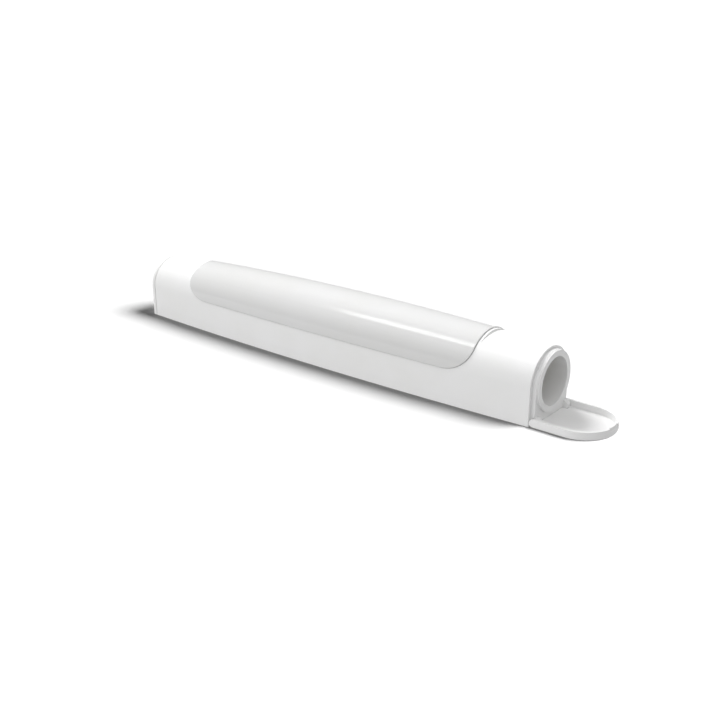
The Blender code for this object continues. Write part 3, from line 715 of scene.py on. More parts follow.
class CurvedSheet:
    """Collects points of the swelling body, so that one tree can swell all of them."""

    def __init__(self, form: BodyForm) -> None:
        """Starts with no points."""
        self.form = form
        self.points: list[Point] = []
        self.outward: list[Point] = []
        self.faces: list[Face] = []

    def add(self, x: float, turn: float, inset: float) -> int:
        """Adds a point and gives its number."""
        point, outward = self.form.at(x, turn, inset)
        self.points.append(point)
        self.outward.append(outward)
        return len(self.points) - 1

    def grid(self, rows: list[list[int]]) -> None:
        """Joins rows of point numbers with faces."""
        for low, high in zip(rows, rows[1:]):
            for a, b, c, d in zip(low, low[1:], high[1:], high):
                self.faces.append((a, b, c, d))

    def piece(
        self, name: str, finish: Finish, tree: Tree, cutters: Sequence[bpy.types.Object] = ()
    ) -> bpy.types.Object:
        """Makes the object and swells it.

        Args:
            name: The piece's name.
            finish: What it is made of.
            tree: The swelling tree.
            cutters: Shapes to cut out of the swollen piece. They are used up.

        Returns:
            The finished object.
        """
        mesh = bpy.data.meshes.new(name)
        mesh.from_pydata([tuple(c * MM for c in p) for p in self.points], [], self.faces)
        layer = mesh.attributes.new("outward", "FLOAT_VECTOR", "POINT")
        layer.data.foreach_set("vector", [c for p in self.outward for c in p])
        tidy_mesh(mesh)
        mesh.shade_smooth()
        mesh.set_sharp_from_angle(angle=math.radians(50))
        piece = bpy.data.objects.new(name, mesh)
        bpy.context.scene.collection.objects.link(piece)
        finish.dress(piece)
        values = {"Half length": self.form.half * MM, "Side swell": self.form.side_swell * MM}
        values |= {"Top swell": self.form.top_swell * MM, "Finish": finish.material()}
        tree.put_on(piece, values)
        for cutter in cutters:
            cut = piece.modifiers.new(cutter.name, "BOOLEAN")
            cut.object, cut.solver = cutter, "EXACT"
        weigh_normals(piece)
        bake(piece)
        for cutter in cutters:
            bpy.data.objects.remove(cutter)
        piece.data.attributes.remove(piece.data.attributes["outward"])
        return piece


@dataclass
class CoverPlan:
    """The cover's outline over the arch: straight ends with elliptical lower corners.

    Attributes:
        reach: Half its length at the top.
        corner: How far a corner runs along the body.
        corner_turn: How far a corner runs up the arch, in degrees.
        thickness: The cover's thickness.
        proud: How far it stands out of the body.
        gap: The gap round it.
        corner_steps: Rows in a corner.
        row_step: Degrees between rows over the top.
    """

    reach: float = 226.5
    corner: float = 35.0
    corner_turn: float = 40.0
    thickness: float = 1.9
    proud: float = 1.2
    gap: float = 0.5
    corner_steps: int = 16
    row_step: float = 1.0

    def rows(self, grow: float, form: BodyForm) -> list[tuple[float, float]]:
        """The outline's rows, grown outwards along its normal.

        Args:
            grow: How far the outline is grown, in millimetres.
            form: The body that the cover lies on.

        Returns:
            The angle over the arch and the half length of each row.
        """
        span = self.corner_turn * form.degree
        low: list[tuple[float, float]] = []
        for n in range(self.corner_steps + 1):
            turn = math.radians(90.0 * n / self.corner_steps)
            normal = Vector((math.sin(turn) / self.corner, -math.cos(turn) / span)).normalized()
            x = self.reach - self.corner * (1.0 - math.sin(turn)) + normal.x * grow
            up = span * (1.0 - math.cos(turn)) + normal.y * grow
            low.append((up / form.degree, x))
        count = round((180.0 - 2 * self.corner_turn) / self.row_step)
        top = [(self.corner_turn + self.row_step * n, self.reach + grow) for n in range(1, count)]
        return low + top + [(180.0 - turn, x) for turn, x in reversed(low)]


@dataclass
class Housing:
    """The moulded shell, its cover and the flat back.

    Attributes:
        form: The body's section and swell.
        plan: The cover's outline.
        scoop_start: Where each finger scoop's straight edge is.
        scoop_length: How far a scoop runs along the body.
        scoop_turn: How far it runs to each side of the ridge, in degrees.
        scoop_depth: Its depth at the straight edge.
        scoop_edge: The small step round its curved edge.
        middle_columns: Columns over the cover.
        peg_x: Where the cover's locating pegs are.
        peg_radius: The radius of a peg.
        tree: The swelling tree.
    """

    form: BodyForm
    plan: CoverPlan = field(default_factory=CoverPlan)
    scoop_start: float = 230.0
    scoop_length: float = 20.0
    scoop_turn: float = 37.0
    scoop_depth: float = 2.0
    scoop_edge: float = 0.32
    middle_columns: int = 56
    peg_x: float = 80.0
    peg_radius: float = 1.6
    tree: Tree = field(default_factory=swelling_tree)

    def scoop(self, x: float, turn: float) -> float:
        """The depth of a finger scoop at a place on the body."""
        along = (abs(x) - self.scoop_start) / self.scoop_length
        share = along**2 + ((turn - 90.0) / self.scoop_turn) ** 2
        return self.scoop_depth * max(0.0, 1.0 - share)

    def end_columns(self, turn: float, reach: float) -> list[tuple[float, float]]:
        """The stations from the end of the body to the pocket's edge on one row.

        Args:
            turn: The row's place over the arch.
            reach: Where the pocket's edge is on this row.

        Returns:
            The place along the body and the depth of each station.
        """
        end, edge = self.form.half, self.scoop_start
        across = (turn - 90.0) / self.scoop_turn
        reach_in = self.scoop_length * math.sqrt(max(0.0, 1.0 - across * across))
        rim = edge + max(reach_in, 0.4)
        made = [(end, 0.5), (end - 0.15, 0.15), (end - 0.5, 0.0)]
        made += [(end - 2.0 - (end - 2.4 - rim) * n / 9, 0.0) for n in range(10)]
        step = self.scoop_edge * min(1.0, reach_in / 3.0)
        made.append((rim - 0.15, step))
        for n in range(1, 21):
            x = rim - 0.15 - (rim - 0.15 - edge) * n / 20
            made.append((x, max(step, self.scoop(x, turn)) if reach_in else 0.0))
        deep = self.scoop(edge, turn)
        ease = min(1.0, deep / 0.6)
        made += [(edge, 0.3 * ease), (edge - 0.09, 0.09 * ease), (edge - 0.3, 0.0)]
        made += [(edge - 0.3 + (reach - edge + 0.3) * n / 3, 0.0) for n in (1, 2, 3)]
        return made

    def build_shell(self) -> bpy.types.Object:
        """Builds the shell's outer skin with its pocket and scoops, its wall and its ends."""
        plan, form, sheet = self.plan, self.form, CurvedSheet(self.form)
        rims = [(plan.gap + 0.25, 0.0), (plan.gap + 0.08, 0.06), (plan.gap, 0.25)]
        floor_depth = plan.thickness - plan.proud + 0.3
        outer_rows = plan.rows(rims[0][0], form)
        foot = -form.spring / form.degree
        low = [foot, foot + 0.6, foot * 0.85, foot * 0.6, foot * 0.4, foot * 0.2, foot * 0.08]
        rows: list[tuple[float, float, bool]] = [(turn, outer_rows[0][1], False) for turn in low]
        rows += [(turn, reach, True) for turn, reach in outer_rows]
        rows += [(180.0 - turn, outer_rows[0][1], False) for turn in reversed(low)]

        shares = [-1.0 + 2.0 * n / self.middle_columns for n in range(self.middle_columns + 1)]
        left, middle, right = [], [], []
        for turn, reach, _ in rows:
            ends = self.end_columns(turn, reach)
            left.append([sheet.add(-x, turn, depth) for x, depth in ends])
            right.append([sheet.add(x, turn, depth) for x, depth in reversed(ends)])
            middle.append([sheet.add(share * reach, turn, 0.0) for share in shares])
        first = len(low)
        last = first + len(outer_rows) - 1
        sheet.grid(left)
        sheet.grid(right)
        sheet.grid(middle[: first + 1])
        sheet.grid(middle[last:])
        rim = self.loop(middle[first : last + 1])
        for grow, depth in [*rims[1:], (plan.gap, floor_depth)]:
            grid = [
                [sheet.add(s * reach, turn, depth) for s in shares] for turn, reach in plan.rows(grow, form)
            ]
            ring = self.loop(grid)
            for n, a in enumerate(rim):
                m = (n + 1) % len(rim)
                sheet.faces.append((a, rim[m], ring[m], ring[n]))
            rim = ring
        sheet.grid(grid)
        self.close_inside(sheet, rows, shares)
        holes = [self.peg_hole(side.value * self.peg_x) for side in Side]
        return sheet.piece("shell_moulding", SATIN_WHITE, self.tree, holes)

    def peg_hole(self, x: float) -> bpy.types.Object:
        """Makes the shape that cuts the hole for one of the cover's pegs."""
        top, radius = self.form.spring + self.form.rise, self.peg_radius + 0.3
        turns = [math.tau * n / 32 for n in range(32)]
        rings = [
            [(x + radius * math.cos(t), radius * math.sin(t), z) for t in turns]
            for z in (top - 6.0, top + 12.0)
        ]
        points: list[Point] = []
        faces: list[Face] = []
        band(points, faces, rings)
        return make_piece(f"peg_hole_{x:+.0f}", points, faces, SATIN_WHITE)

    @staticmethod
    def loop(grid: list[list[int]]) -> list[int]:
        """The point numbers round the edge of a grid."""
        made = list(grid[0])
        made += [row[-1] for row in grid[1:]]
        made += list(reversed(grid[-1][:-1]))
        return made + [row[0] for row in reversed(grid[1:-1])]

    def close_inside(
        self, sheet: CurvedSheet, rows: list[tuple[float, float, bool]], shares: list[float]
    ) -> None:
        """Adds the inner skin and joins it to the outer one round the open foot and ends.

        Args:
            sheet: The skin so far.
            rows: The outer skin's rows.
            shares: The middle columns' places.
        """
        form = self.form
        inner = []
        outer_edges: list[list[int]] = []
        for index, (turn, reach, _) in enumerate(rows):
            ends = self.end_columns(turn, reach)
            xs = [(-x, d) for x, d in ends] + [(s * reach, 0.0) for s in shares]
            xs += [(x, d) for x, d in reversed(ends)]
            full = max(abs(x) for x, _ in xs)
            inner.append([sheet.add(x, turn, form.wall) for x, _ in xs])
            if index in (0, len(rows) - 1):
                outer_edges.append([sheet.add(x, turn, d) for x, d in xs])
            else:
                outer_edges.append([sheet.add(-full, turn, 0.5), sheet.add(full, turn, 0.5)])
        sheet.grid(inner)
        sheet.grid([outer_edges[0], inner[0]])
        sheet.grid([outer_edges[-1], inner[-1]])
        for column in (0, -1):
            sheet.grid([[row[column] for row in outer_edges], [row[column] for row in inner]])

    def build_cover(self) -> bpy.types.Object:
        """Builds the glossy cover with its eased rim and its two locating pegs."""
        plan, form, sheet = self.plan, self.form, CurvedSheet(self.form)
        shares = [-1.0 + 2.0 * n / self.middle_columns for n in range(self.middle_columns + 1)]

        def layer(grow: float, inset: float) -> list[list[int]]:
            rows = plan.rows(grow, form)
            return [[sheet.add(share * reach, turn, inset) for share in shares] for turn, reach in rows]

        top = layer(-0.7, -plan.proud)
        sheet.grid(top)
        rim = self.loop(top)
        under = plan.thickness - plan.proud
        steps = [(-0.35, 0.05), (-0.12, 0.22), (0.0, 0.55)]
        for grow, drop in [*steps, (0.0, plan.thickness)]:
            grid = layer(grow, -plan.proud + drop)
            ring = self.loop(grid)
            for n, a in enumerate(rim):
                m = (n + 1) % len(rim)
                sheet.faces.append((a, rim[m], ring[m], ring[n]))
            rim = ring
        sheet.grid(grid)
        for side in (-1.0, 1.0):
            self.add_peg(sheet, side * self.peg_x, under)
        return sheet.piece("cover_panel", GLOSS_WHITE, self.tree)

    def add_peg(self, sheet: CurvedSheet, x: float, under: float) -> None:
        """Adds one locating peg below the cover's ridge."""
        form = self.form
        top = form.spring + form.rise
        rings = []
        for height, radius in ((-under + 0.5, 1.0), (-under - 2.3, 1.0), (-under - 2.8, 0.7)):
            ring = []
            for n in range(24):
                turn = math.tau * n / 24
                reach = self.peg_radius * radius
                sheet.points.append((x + reach * math.cos(turn), reach * math.sin(turn), top + height))
                sheet.outward.append((0.0, 0.0, 1.0))
                ring.append(len(sheet.points) - 1)
            rings.append(ring + ring[:1])
        sheet.grid(rings)
        sheet.faces += [tuple(rings[0][:-1]), tuple(rings[-1][:-1])]

    def build(self) -> None:
        """Builds and places the shell and the cover, and dresses the back."""
        place_piece(self.build_shell(), Body.CONTAINER, SATIN_WHITE, "housing_shell")
        place_piece(self.build_cover(), Body.COVER, GLOSS_WHITE, "front_cover")
        for node in ("back_plate", "tube_saddle_front", "tube_saddle_rear"):
            SHADED_INNER_WHITE.dress(bpy.data.objects[node])


@dataclass
class ClosedEnd:
    """The cap on the closed end, with a rounded rim and two sunk screw holes.

    Attributes:
        form: The body's section.
        seam: The gap between the cap and the shell.
        thickness: The cap's thickness.
        rounding: The radius of its rim.
        screw_height: The height of its screws.
        screw_y: Their distance from the middle.
        well: The radius of the holes that their heads sink into.
    """

    form: BodyForm
    seam: float = 0.95
    thickness: float = 7.65
    rounding: float = 4.0
    screw_height: float = 12.0
    screw_y: float = 29.0
    well: float = 3.2

    def build(self) -> None:
        """Builds the cap, sinks its screw wells and places it."""
        face = -self.form.half - self.seam
        back = face - self.thickness
        stations = [(face, 0.5), (face - 0.15, 0.15), (face - 0.5, 0.0)]
        for n in range(13):
            turn = math.radians(90.0 * n / 12)
            x = back + self.rounding * (1.0 - math.sin(turn))
            stations.append((x, self.rounding * (1.0 - math.cos(turn))))
        points: list[Point] = []
        faces: list[Face] = []
        rings = [[(x, y, z) for y, z in self.form.outline(inset, inset)] for x, inset in stations]
        band(points, faces, rings)
        rim = ((face + 0.3, 3.3, 0.9), (face + 9.0, 3.3, 0.9), (face + 9.0, 5.3, 2.9), (face + 0.3, 5.3, 2.9))
        plug = [[(x, y, z) for y, z in self.form.outline(inset, low, 48)] for x, inset, low in (*rim, rim[0])]
        cap = make_piece("end_cap_moulding", points, faces, SATIN_WHITE, 35)
        for side in Side:
            well = self.cutter(back, side.value * self.screw_y)
            cut = cap.modifiers.new("well", "BOOLEAN")
            cut.object, cut.solver = well, "EXACT"
        weigh_normals(cap)
        bake(cap)
        for helper in [o for o in bpy.data.objects if o.name.startswith("well_cutter")]:
            bpy.data.objects.remove(helper)
        place_piece(cap, Body.CONTAINER, SATIN_WHITE, "end_cap")
        points, faces = [], []
        band(points, faces, plug, caps=False)
        # The spigot takes the darker white: painted shade for the inside of the shell.
        spigot = make_piece("end_cap_spigot", points, faces, SHADED_INNER_WHITE)
        place_piece(spigot, Body.CONTAINER, SHADED_INNER_WHITE)

    def cutter(self, back: float, y: float) -> bpy.types.Object:
        """Makes the shape that sinks one screw well."""
        rings = []
        for x, radius in (
            (back - 2.0, 4.0), (back, self.well + 0.35), (back + 0.35, self.well), (back + 4.8, self.well)
        ):
            ring = []
            for n in range(40):
                turn = math.tau * n / 40
                ring.append((x, y + radius * math.cos(turn), self.screw_height + radius * math.sin(turn)))
            rings.append(ring)
        points: list[Point] = []
        faces: list[Face] = []
        band(points, faces, rings)
        return make_piece(f"well_cutter_{y:+.0f}", points, faces, SATIN_WHITE)


@dataclass
class Mouth:
    """The mouth: a D step with shoulder flats, hinge lugs, the raised collar and the tube.

    Attributes:
        form: The body's section.
        base: Where the step starts, just past the shell.
        depth: The step's depth.
        radius: The step's radius.
        bottom: The step's lowest edge.
        bore_height: The height of the bore's axis.
        bore: The bore's radius.
        tube: The tube's outer radius.
        ring: The collar's outer radius.
        face: Where the collar's face is.
        throat: How far the collar runs into the bore.
        shoulder: The two angles between which the step is flat.
        hinge: The hinge axis, as (x, z).
        lug: The radius of a hinge lug.
        lug_width: The width of a lug.
        nubs: The angles of the two small nubs in the bore.
    """

    form: BodyForm
    base: float = 300.3
    depth: float = 4.0
    radius: float = 34.2
    bottom: float = 0.6
    bore_height: float = 40.9
    bore: float = 27.0
    tube: float = 28.6
    ring: float = 33.8
    face: float = 306.9
    throat: float = 50.0
    shoulder: tuple[float, float] = (25.0, 62.0)
    hinge: tuple[float, float] = (305.0, 4.8)
    lug: float = 5.0
    lug_width: float = 7.2
    nubs: tuple[float, float] = (128.0, 243.0)

    def outline(self, inset: float = 0.0) -> list[tuple[float, float]]:
        """The step's outline, as (y, z) pairs from the near bottom corner to the far one."""
        low, high = self.shoulder
        turns = [low * n / 8 for n in range(9)]
        turns += [low + 0.01 + (high - low) * n / 6 for n in range(1, 6)]
        places = [(turn, self.radius) for turn in turns[:9]]
        start, end = (self.polar(angle, self.radius) for angle in (low, high))
        flats = [start.lerp(end, n / 6) for n in range(1, 6)]
        near = [self.polar(turn, reach) for turn, reach in places] + flats
        near += [self.polar(high + (90.0 - high) * n / 12, self.radius) for n in range(12)]
        top = [self.polar(90.0, self.radius)]
        walls = [Vector((-self.radius, self.bottom - self.bore_height))]
        walls += [Vector((-self.radius, (self.bottom - self.bore_height) * n / 6)) for n in range(5, 0, -1)]
        half = walls + near
        whole = half + top + [Vector((-p.x, p.y)) for p in reversed(half)]
        foot = [
            Vector((self.radius * (1.0 - 2.0 * n / 12), self.bottom - self.bore_height)) for n in range(1, 12)
        ]
        whole += foot
        made = []
        for point in whole:
            shrunk = point * (1.0 - inset / point.length)
            made.append((shrunk.x, self.bore_height + shrunk.y))
        return made

    @staticmethod
    def polar(turn: float, radius: float) -> Vector:
        """A point about the bore, from the near spring line over the top."""
        angle = math.radians(turn)
        return Vector((-radius * math.cos(angle), radius * math.sin(angle)))

    def plate(
        self, points: list[Point], faces: list[Face], stations: list[tuple[float, float]], hole: float
    ) -> None:
        """Adds the step: its outline outside and a round hole inside.

        Args:
            points: The points so far.
            faces: The faces so far.
            stations: The place along the tube and the inset of each ring of the outline.
            hole: The hole's radius.
        """
        rings = [[(x, y, z) for y, z in self.outline(inset)] for x, inset in stations]
        front, back = stations[-1][0], stations[0][0]
        holes = []
        for x in (front, back):
            ring = []
            for y, z in self.outline():
                away = Vector((y, z - self.bore_height)).normalized() * hole
                ring.append((x, away.x, self.bore_height + away.y))
            holes.append(ring)
        rings += holes
        rings.append(rings[0])
        band(points, faces, rings, caps=False)

    def add_lug(self, points: list[Point], faces: list[Face], side: Side) -> None:
        """Adds one rounded hinge lug with eased ends."""
        x0, z0 = self.hinge
        outer = side.value * self.radius
        inner = side.value * (self.radius - self.lug_width)
        stations = [(outer, 0.3), (outer - side.value * 0.3, 0.0), (inner + side.value * 0.5, 0.0)]
        stations += [(inner + side.value * 0.15, 0.15), (inner, 0.5)]
        rings = []
        for y, inset in stations:
            reach = self.lug - inset
            ring = [(x0 - 3.0, y, z0 + reach * 0.8)]
            for n in range(33):
                turn = math.radians(127.0 - 197.0 * n / 32)
                ring.append((x0 + reach * math.cos(turn), y, max(0.5 + inset, z0 + reach * math.sin(turn))))
            ring.append((x0 - 3.0, y, 0.5 + inset))
            rings.append(ring)
        band(points, faces, rings)

    def build_bezel(self) -> bpy.types.Object:
        """Builds the step, the round land in front of it, the spigot behind it and the lugs."""
        points: list[Point] = []
        faces: list[Face] = []
        front = self.base + self.depth
        hole = self.tube + 0.3
        stations = [(self.base, 0.0), (front - 0.35, 0.0), (front - 0.1, 0.1), (front, 0.35)]
        self.plate(points, faces, stations, hole)
        land = [
            (front - 0.5, hole, 0), (front + 1.0, hole, 0),
            (front + 1.0, self.ring, 0.25), (front - 0.5, self.ring, 0)
        ]
        lathe(points, faces, round_profile(land), self.bore_height)
        for side in Side:
            self.add_lug(points, faces, side)
        spigot = [
            [(x, y, z) for y, z in self.form.outline(3.3, 0.9, 48)]
            for x in (self.base - 6.3, self.base + 0.2)
        ]
        holes = []
        for ring in reversed(spigot):
            made = []
            for x, y, z in ring:
                away = Vector((y, z - self.bore_height)).normalized() * hole
                made.append((x, away.x, self.bore_height + away.y))
            holes.append(made)
        rings = [spigot[0], spigot[1], holes[0], holes[1], spigot[0]]
        band(points, faces, rings, caps=False)
        return make_piece("mouth_bezel", points, faces, SATIN_WHITE, 32)

    def build_collar(self) -> bpy.types.Object:
        """Builds the raised collar, its throat and the two nubs that hold the roll back."""
        points: list[Point] = []
        faces: list[Face] = []
        back = self.face - 1.3
        corners = [
            (self.face - self.throat, self.bore, 0.2),
            (self.face, self.bore, 0.7),
            (self.face, self.ring, 0.55),
            (back, self.ring, 0.15),
            (back, self.tube, 0.0),
            (self.face - self.throat, self.tube, 0.0),
        ]
        lathe(points, faces, round_profile(corners), self.bore_height, 160)
        for angle in self.nubs:
            rings = []
            for x, drop in (
                (self.face - 3.2, 0.5), (self.face - 2.8, 0.0), (self.face - 1.0, 0.0), (self.face - 0.6, 0.5)
            ):
                ring = []
                spans = [(n / 8, self.bore + 0.6) for n in range(9)]
                spans += [(n / 8, self.bore - 0.8 + drop) for n in range(8, -1, -1)]
                for share, radius in spans:
                    ease = 0.5 if share in (0.0, 1.0) and radius < self.bore else 0.0
                    turn = math.radians(angle - 5.0 + 10.0 * share)
                    reach = radius + ease
                    ring.append((x, reach * math.cos(turn), self.bore_height + reach * math.sin(turn)))
                rings.append(ring)
            band(points, faces, rings)
        return make_piece("mouth_collar", points, faces, SATIN_WHITE, 32)

    def build_tube(self) -> bpy.types.Object:
        """Builds the tube that the roll slides in."""
        points: list[Point] = []
        faces: list[Face] = []
        front, rear = self.face - self.throat - 0.3, -self.form.half - 0.4
        profile = [(rear, self.bore, 0), (front, self.bore, 0.3), (front, self.tube, 0), (rear, self.tube, 0)]
        lathe(points, faces, round_profile(profile), self.bore_height)
        # The liner takes the darker white: painted shade for the inside of the bore.
        return make_piece("tube_liner", points, faces, SHADED_INNER_WHITE, 32)

    def build(self) -> None:
        """Builds and places the mouth's pieces and dresses the hinge pins."""
        for piece, finish, node in (
            (self.build_bezel(), SATIN_WHITE, "bezel"),
            (self.build_collar(), SATIN_WHITE, "collar"),
            (self.build_tube(), SHADED_INNER_WHITE, "inner_tube"),
        ):
            weigh_normals(piece)
            bake(piece)
            place_piece(piece, Body.CONTAINER, finish, node)
        for node in ("hinge_pin_near", "hinge_pin_far"):
            ZINC.dress(bpy.data.objects[node])


@dataclass
class Flap:
    """The hinged flap: a shallow D-shaped tray lying open, with its rim up.

    Attributes:
        mouth: The mouth that it closes.
        half: Half its width.
        spring: Where its arch starts when it is shut.
        rise: The height of its arch.
        gap: The gap between its rim and the step when it is shut.
        low: Its underside when open.
        depth: Its depth.
        floor: The thickness of its floor.
        chamfer: How far the rim's tip is lowered for a finger.
        chamfer_half: Half the width of that lowered part.
    """

    mouth: Mouth
    half: float = 39.0
    spring: float = 41.3
    rise: float = 36.5
    gap: float = 0.4
    low: float = 0.3
    depth: float = 9.0
    floor: float = 1.5
    chamfer: float = 2.6
    chamfer_half: float = 9.5

    def stations(self) -> list[tuple[Vector, Vector, float, float]]:
        """The rim's path, from the near hinge round the tip to the far one.

        Returns:
            The outer and inner point in plan, the half height, and how far the outer top is lowered.
        """
        x0, z0 = self.mouth.hinge
        inner_radius = self.mouth.radius + self.gap
        half_depth = self.depth / 2
        near: list[tuple[Vector, Vector, float, float]] = []
        for n in range(9):
            turn = math.radians(90.0 * n / 8)
            x = x0 - half_depth * math.cos(turn)
            outer, inner = Vector((x, -self.half)), Vector((x, -inner_radius))
            near.append((outer, inner, max(0.05, half_depth * math.sin(turn)), 0.0))
        for n in range(1, 10):
            x = x0 + (self.spring - z0) * n / 10
            near.append((Vector((x, -self.half)), Vector((x, -inner_radius)), half_depth, 0.0))
        for turn, pressed in self.turns():
            angle = math.radians(turn)
            outer = Vector(
                (x0 - z0 + self.spring + self.rise * math.sin(angle), -self.half * math.cos(angle))
            )
            side = Mouth.polar(turn, inner_radius)
            inner = Vector((x0 - z0 + self.mouth.bore_height + side.y, side.x))
            near.append((outer, inner, half_depth, self.chamfer if pressed else 0.0))
        far = [(Vector((o.x, -o.y)), Vector((i.x, -i.y)), h, c) for o, i, h, c in reversed(near[:-1])]
        return near + far

    def turns(self) -> list[tuple[float, bool]]:
        """The rim's angles up to the tip, each with whether the finger chamfer has started."""
        start = math.degrees(math.acos(self.chamfer_half / self.half))
        plain = [2.5 * n for n in range(36) if 2.5 * n < start - 0.6] + [start - 0.02]
        pressed = [start + 0.02] + [start + (90.0 - start) * n / 6 for n in range(1, 7)]
        return [(turn, False) for turn in sorted(plain)] + [(turn, True) for turn in pressed]

    def build_rim(self, points: list[Point], faces: list[Face]) -> None:
        """Adds the rim, swept along its path with eased edges and a filleted foot."""
        z0 = self.mouth.hinge[1]
        rings = []
        for outer, inner, tall, lowered in self.stations():
            way = outer - inner
            across = way.normalized()
            bottom, top = z0 - tall, z0 + tall
            share = min(1.0, tall / (self.depth / 2))
            ease, under = 0.5 * share, 1.2 * share
            foot = min(bottom + self.floor, z0)
            section: list[tuple[Vector, float]] = []
            for n in range(6):
                turn = math.radians(90.0 * n / 5)
                section.append(
                    (outer - across * under * (1.0 - math.sin(turn)), bottom + under * (1.0 - math.cos(turn)))
                )
            high = top - lowered
            section += [(outer, high - ease), (outer - across * ease * 0.3, high - ease * 0.3)]
            section.append((outer - across * ease, high))
            section += [(inner + across * ease * 0.8, top), (inner + across * ease * 0.2, top - ease * 0.2)]
            section += [(inner, top - ease * 0.8), (inner, foot + 0.8 * share)]
            section += [
                (inner - across * 0.23 * share, foot + 0.23 * share),
                (inner - across * 0.8 * share, foot - 0.1)
            ]
            section.append((inner - across * 0.8 * share, bottom))
            rings.append([(p.x, p.y, z) for p, z in section])
        band(points, faces, rings)

    def build_floor(self, points: list[Point], faces: list[Face]) -> None:
        """Adds the floor, with a notch for each hinge lug."""
        x0 = self.mouth.hinge[0]
        lug_inner = self.mouth.radius - self.mouth.lug_width - 0.6
        reach = x0 + self.mouth.lug + 0.5
        side = self.mouth.radius + self.gap
        rim = [inner for _, inner, _, _ in self.stations() if inner.x > reach]
        plan = [(x0 - 0.5, -lug_inner), (reach, -lug_inner), (reach, -side - 0.3)]
        plan += [(p.x, p.y) for p in rim]
        plan += [(reach, side + 0.3), (reach, lug_inner), (x0 - 0.5, lug_inner)]
        middle = Vector((x0 + 35.0, 0.0))
        rings = []
        for z, inset in (
            (self.low, 0.25), (self.low + 0.25, 0.0),
            (self.low + self.floor - 0.25, 0.0), (self.low + self.floor, 0.25)
        ):
            ring = []
            for x, y in plan:
                away = middle - Vector((x, y))
                moved = Vector((x, y)) + away.normalized() * inset
                ring.append((moved.x, moved.y, z))
            rings.append(ring)
        band(points, faces, rings)

    def build(self) -> None:
        """Builds and places the flap."""
        points: list[Point] = []
        faces: list[Face] = []
        self.build_rim(points, faces)
        self.build_floor(points, faces)
        flap = make_piece("flap_moulding", points, faces, SATIN_WHITE, 32)
        weigh_normals(flap)
        bake(flap)
        place_piece(flap, Body.FLAP, SATIN_WHITE, "flap")


@dataclass
class Fixings:
    """The pan-head screws in the back and in the end cap.

    Attributes:
        head: The head's radius.
        head_height: The head's height.
        shank: The shank's radius.
        length: The screw's length.
        slot: Half the width of the cross recess.
    """

    head: float = 2.9
    head_height: float = 1.2
    shank: float = 1.3
    length: float = 10.0
    slot: float = 0.4

    def template(self) -> bpy.types.Object:
        """Builds one screw pointing down -Z, with a cross recess and a threaded shank."""
        profile = [(0.0, 0.0), (self.head - 0.7, 0.0), (self.head - 0.25, -0.2), (self.head, -0.55)]
        profile += [(self.head, -self.head_height), (self.shank, -self.head_height)]
        z = -self.head_height
        while z > -self.length + 1.2:
            profile += [(self.shank - 0.3, z - 0.25), (self.shank, z - 0.5)]
            z -= 0.5
        profile += [(0.3, -self.length)]
        steps = 28
        rings = []
        for radius, height in profile[1:]:
            turns = [math.tau * n / steps for n in range(steps)]
            rings.append([(radius * math.cos(turn), radius * math.sin(turn), height) for turn in turns])
        points: list[Point] = []
        faces: list[Face] = []
        band(points, faces, rings)
        screw = make_piece("screw_template", points, faces, ZINC, 45)
        for name, (a, b) in (("recess_a", (1.7, self.slot)), ("recess_b", (self.slot, 1.7))):
            rings = [[(-a, -b, z), (a, -b, z), (a, b, z), (-a, b, z)] for z in (-0.8, 1.0)]
            points, faces = [], []
            band(points, faces, rings)
            cutter = make_piece(name, points, faces, ZINC)
            cut = screw.modifiers.new(name, "BOOLEAN")
            cut.object, cut.solver = cutter, "EXACT"
        bake(screw)
        for name in ("recess_a", "recess_b"):
            bpy.data.objects.remove(bpy.data.objects[name])
        return screw

    def build(self, form: BodyForm) -> None:
        """Puts a screw at each fixing and places them as one piece.

        Args:
            form: The body that the screws hold together. It is not used.
        """
        places: list[Point] = []
        turns: list[Point] = []
        names = [f"back_screw_{n}" for n in range(1, 7)] + ["cap_screw_near", "cap_screw_far"]
        for n, name in enumerate(names):
            low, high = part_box(name)
            middle = [(a + b) / 2 for a, b in zip(low, high)]
            if name.startswith("back"):
                places.append((middle[0], middle[1], low[2]))
                turns.append((math.pi, 0.0, 0.4 * n))
            else:
                places.append((low[0], middle[1], middle[2]))
                spin = Matrix.Rotation(0.7 * n, 3, "X") @ Matrix.Rotation(-math.pi / 2, 3, "Y")
                turns.append(tuple(spin.to_euler()))
        mesh = bpy.data.meshes.new("fixing_screws")
        mesh.from_pydata(places, [], [])
        layer = mesh.attributes.new("turn", "FLOAT_VECTOR", "POINT")
        layer.data.foreach_set("vector", [c for turn in turns for c in turn])
        screws = bpy.data.objects.new("fixing_screws", mesh)
        bpy.context.scene.collection.objects.link(screws)
        template = self.template()
        fixing_tree().put_on(screws, {"Fixing": template, "Size": 1.0, "Finish": ZINC.material()})
        bake(screws)
        bpy.data.objects.remove(template)
        place_piece(screws, Body.CONTAINER, ZINC, *names)


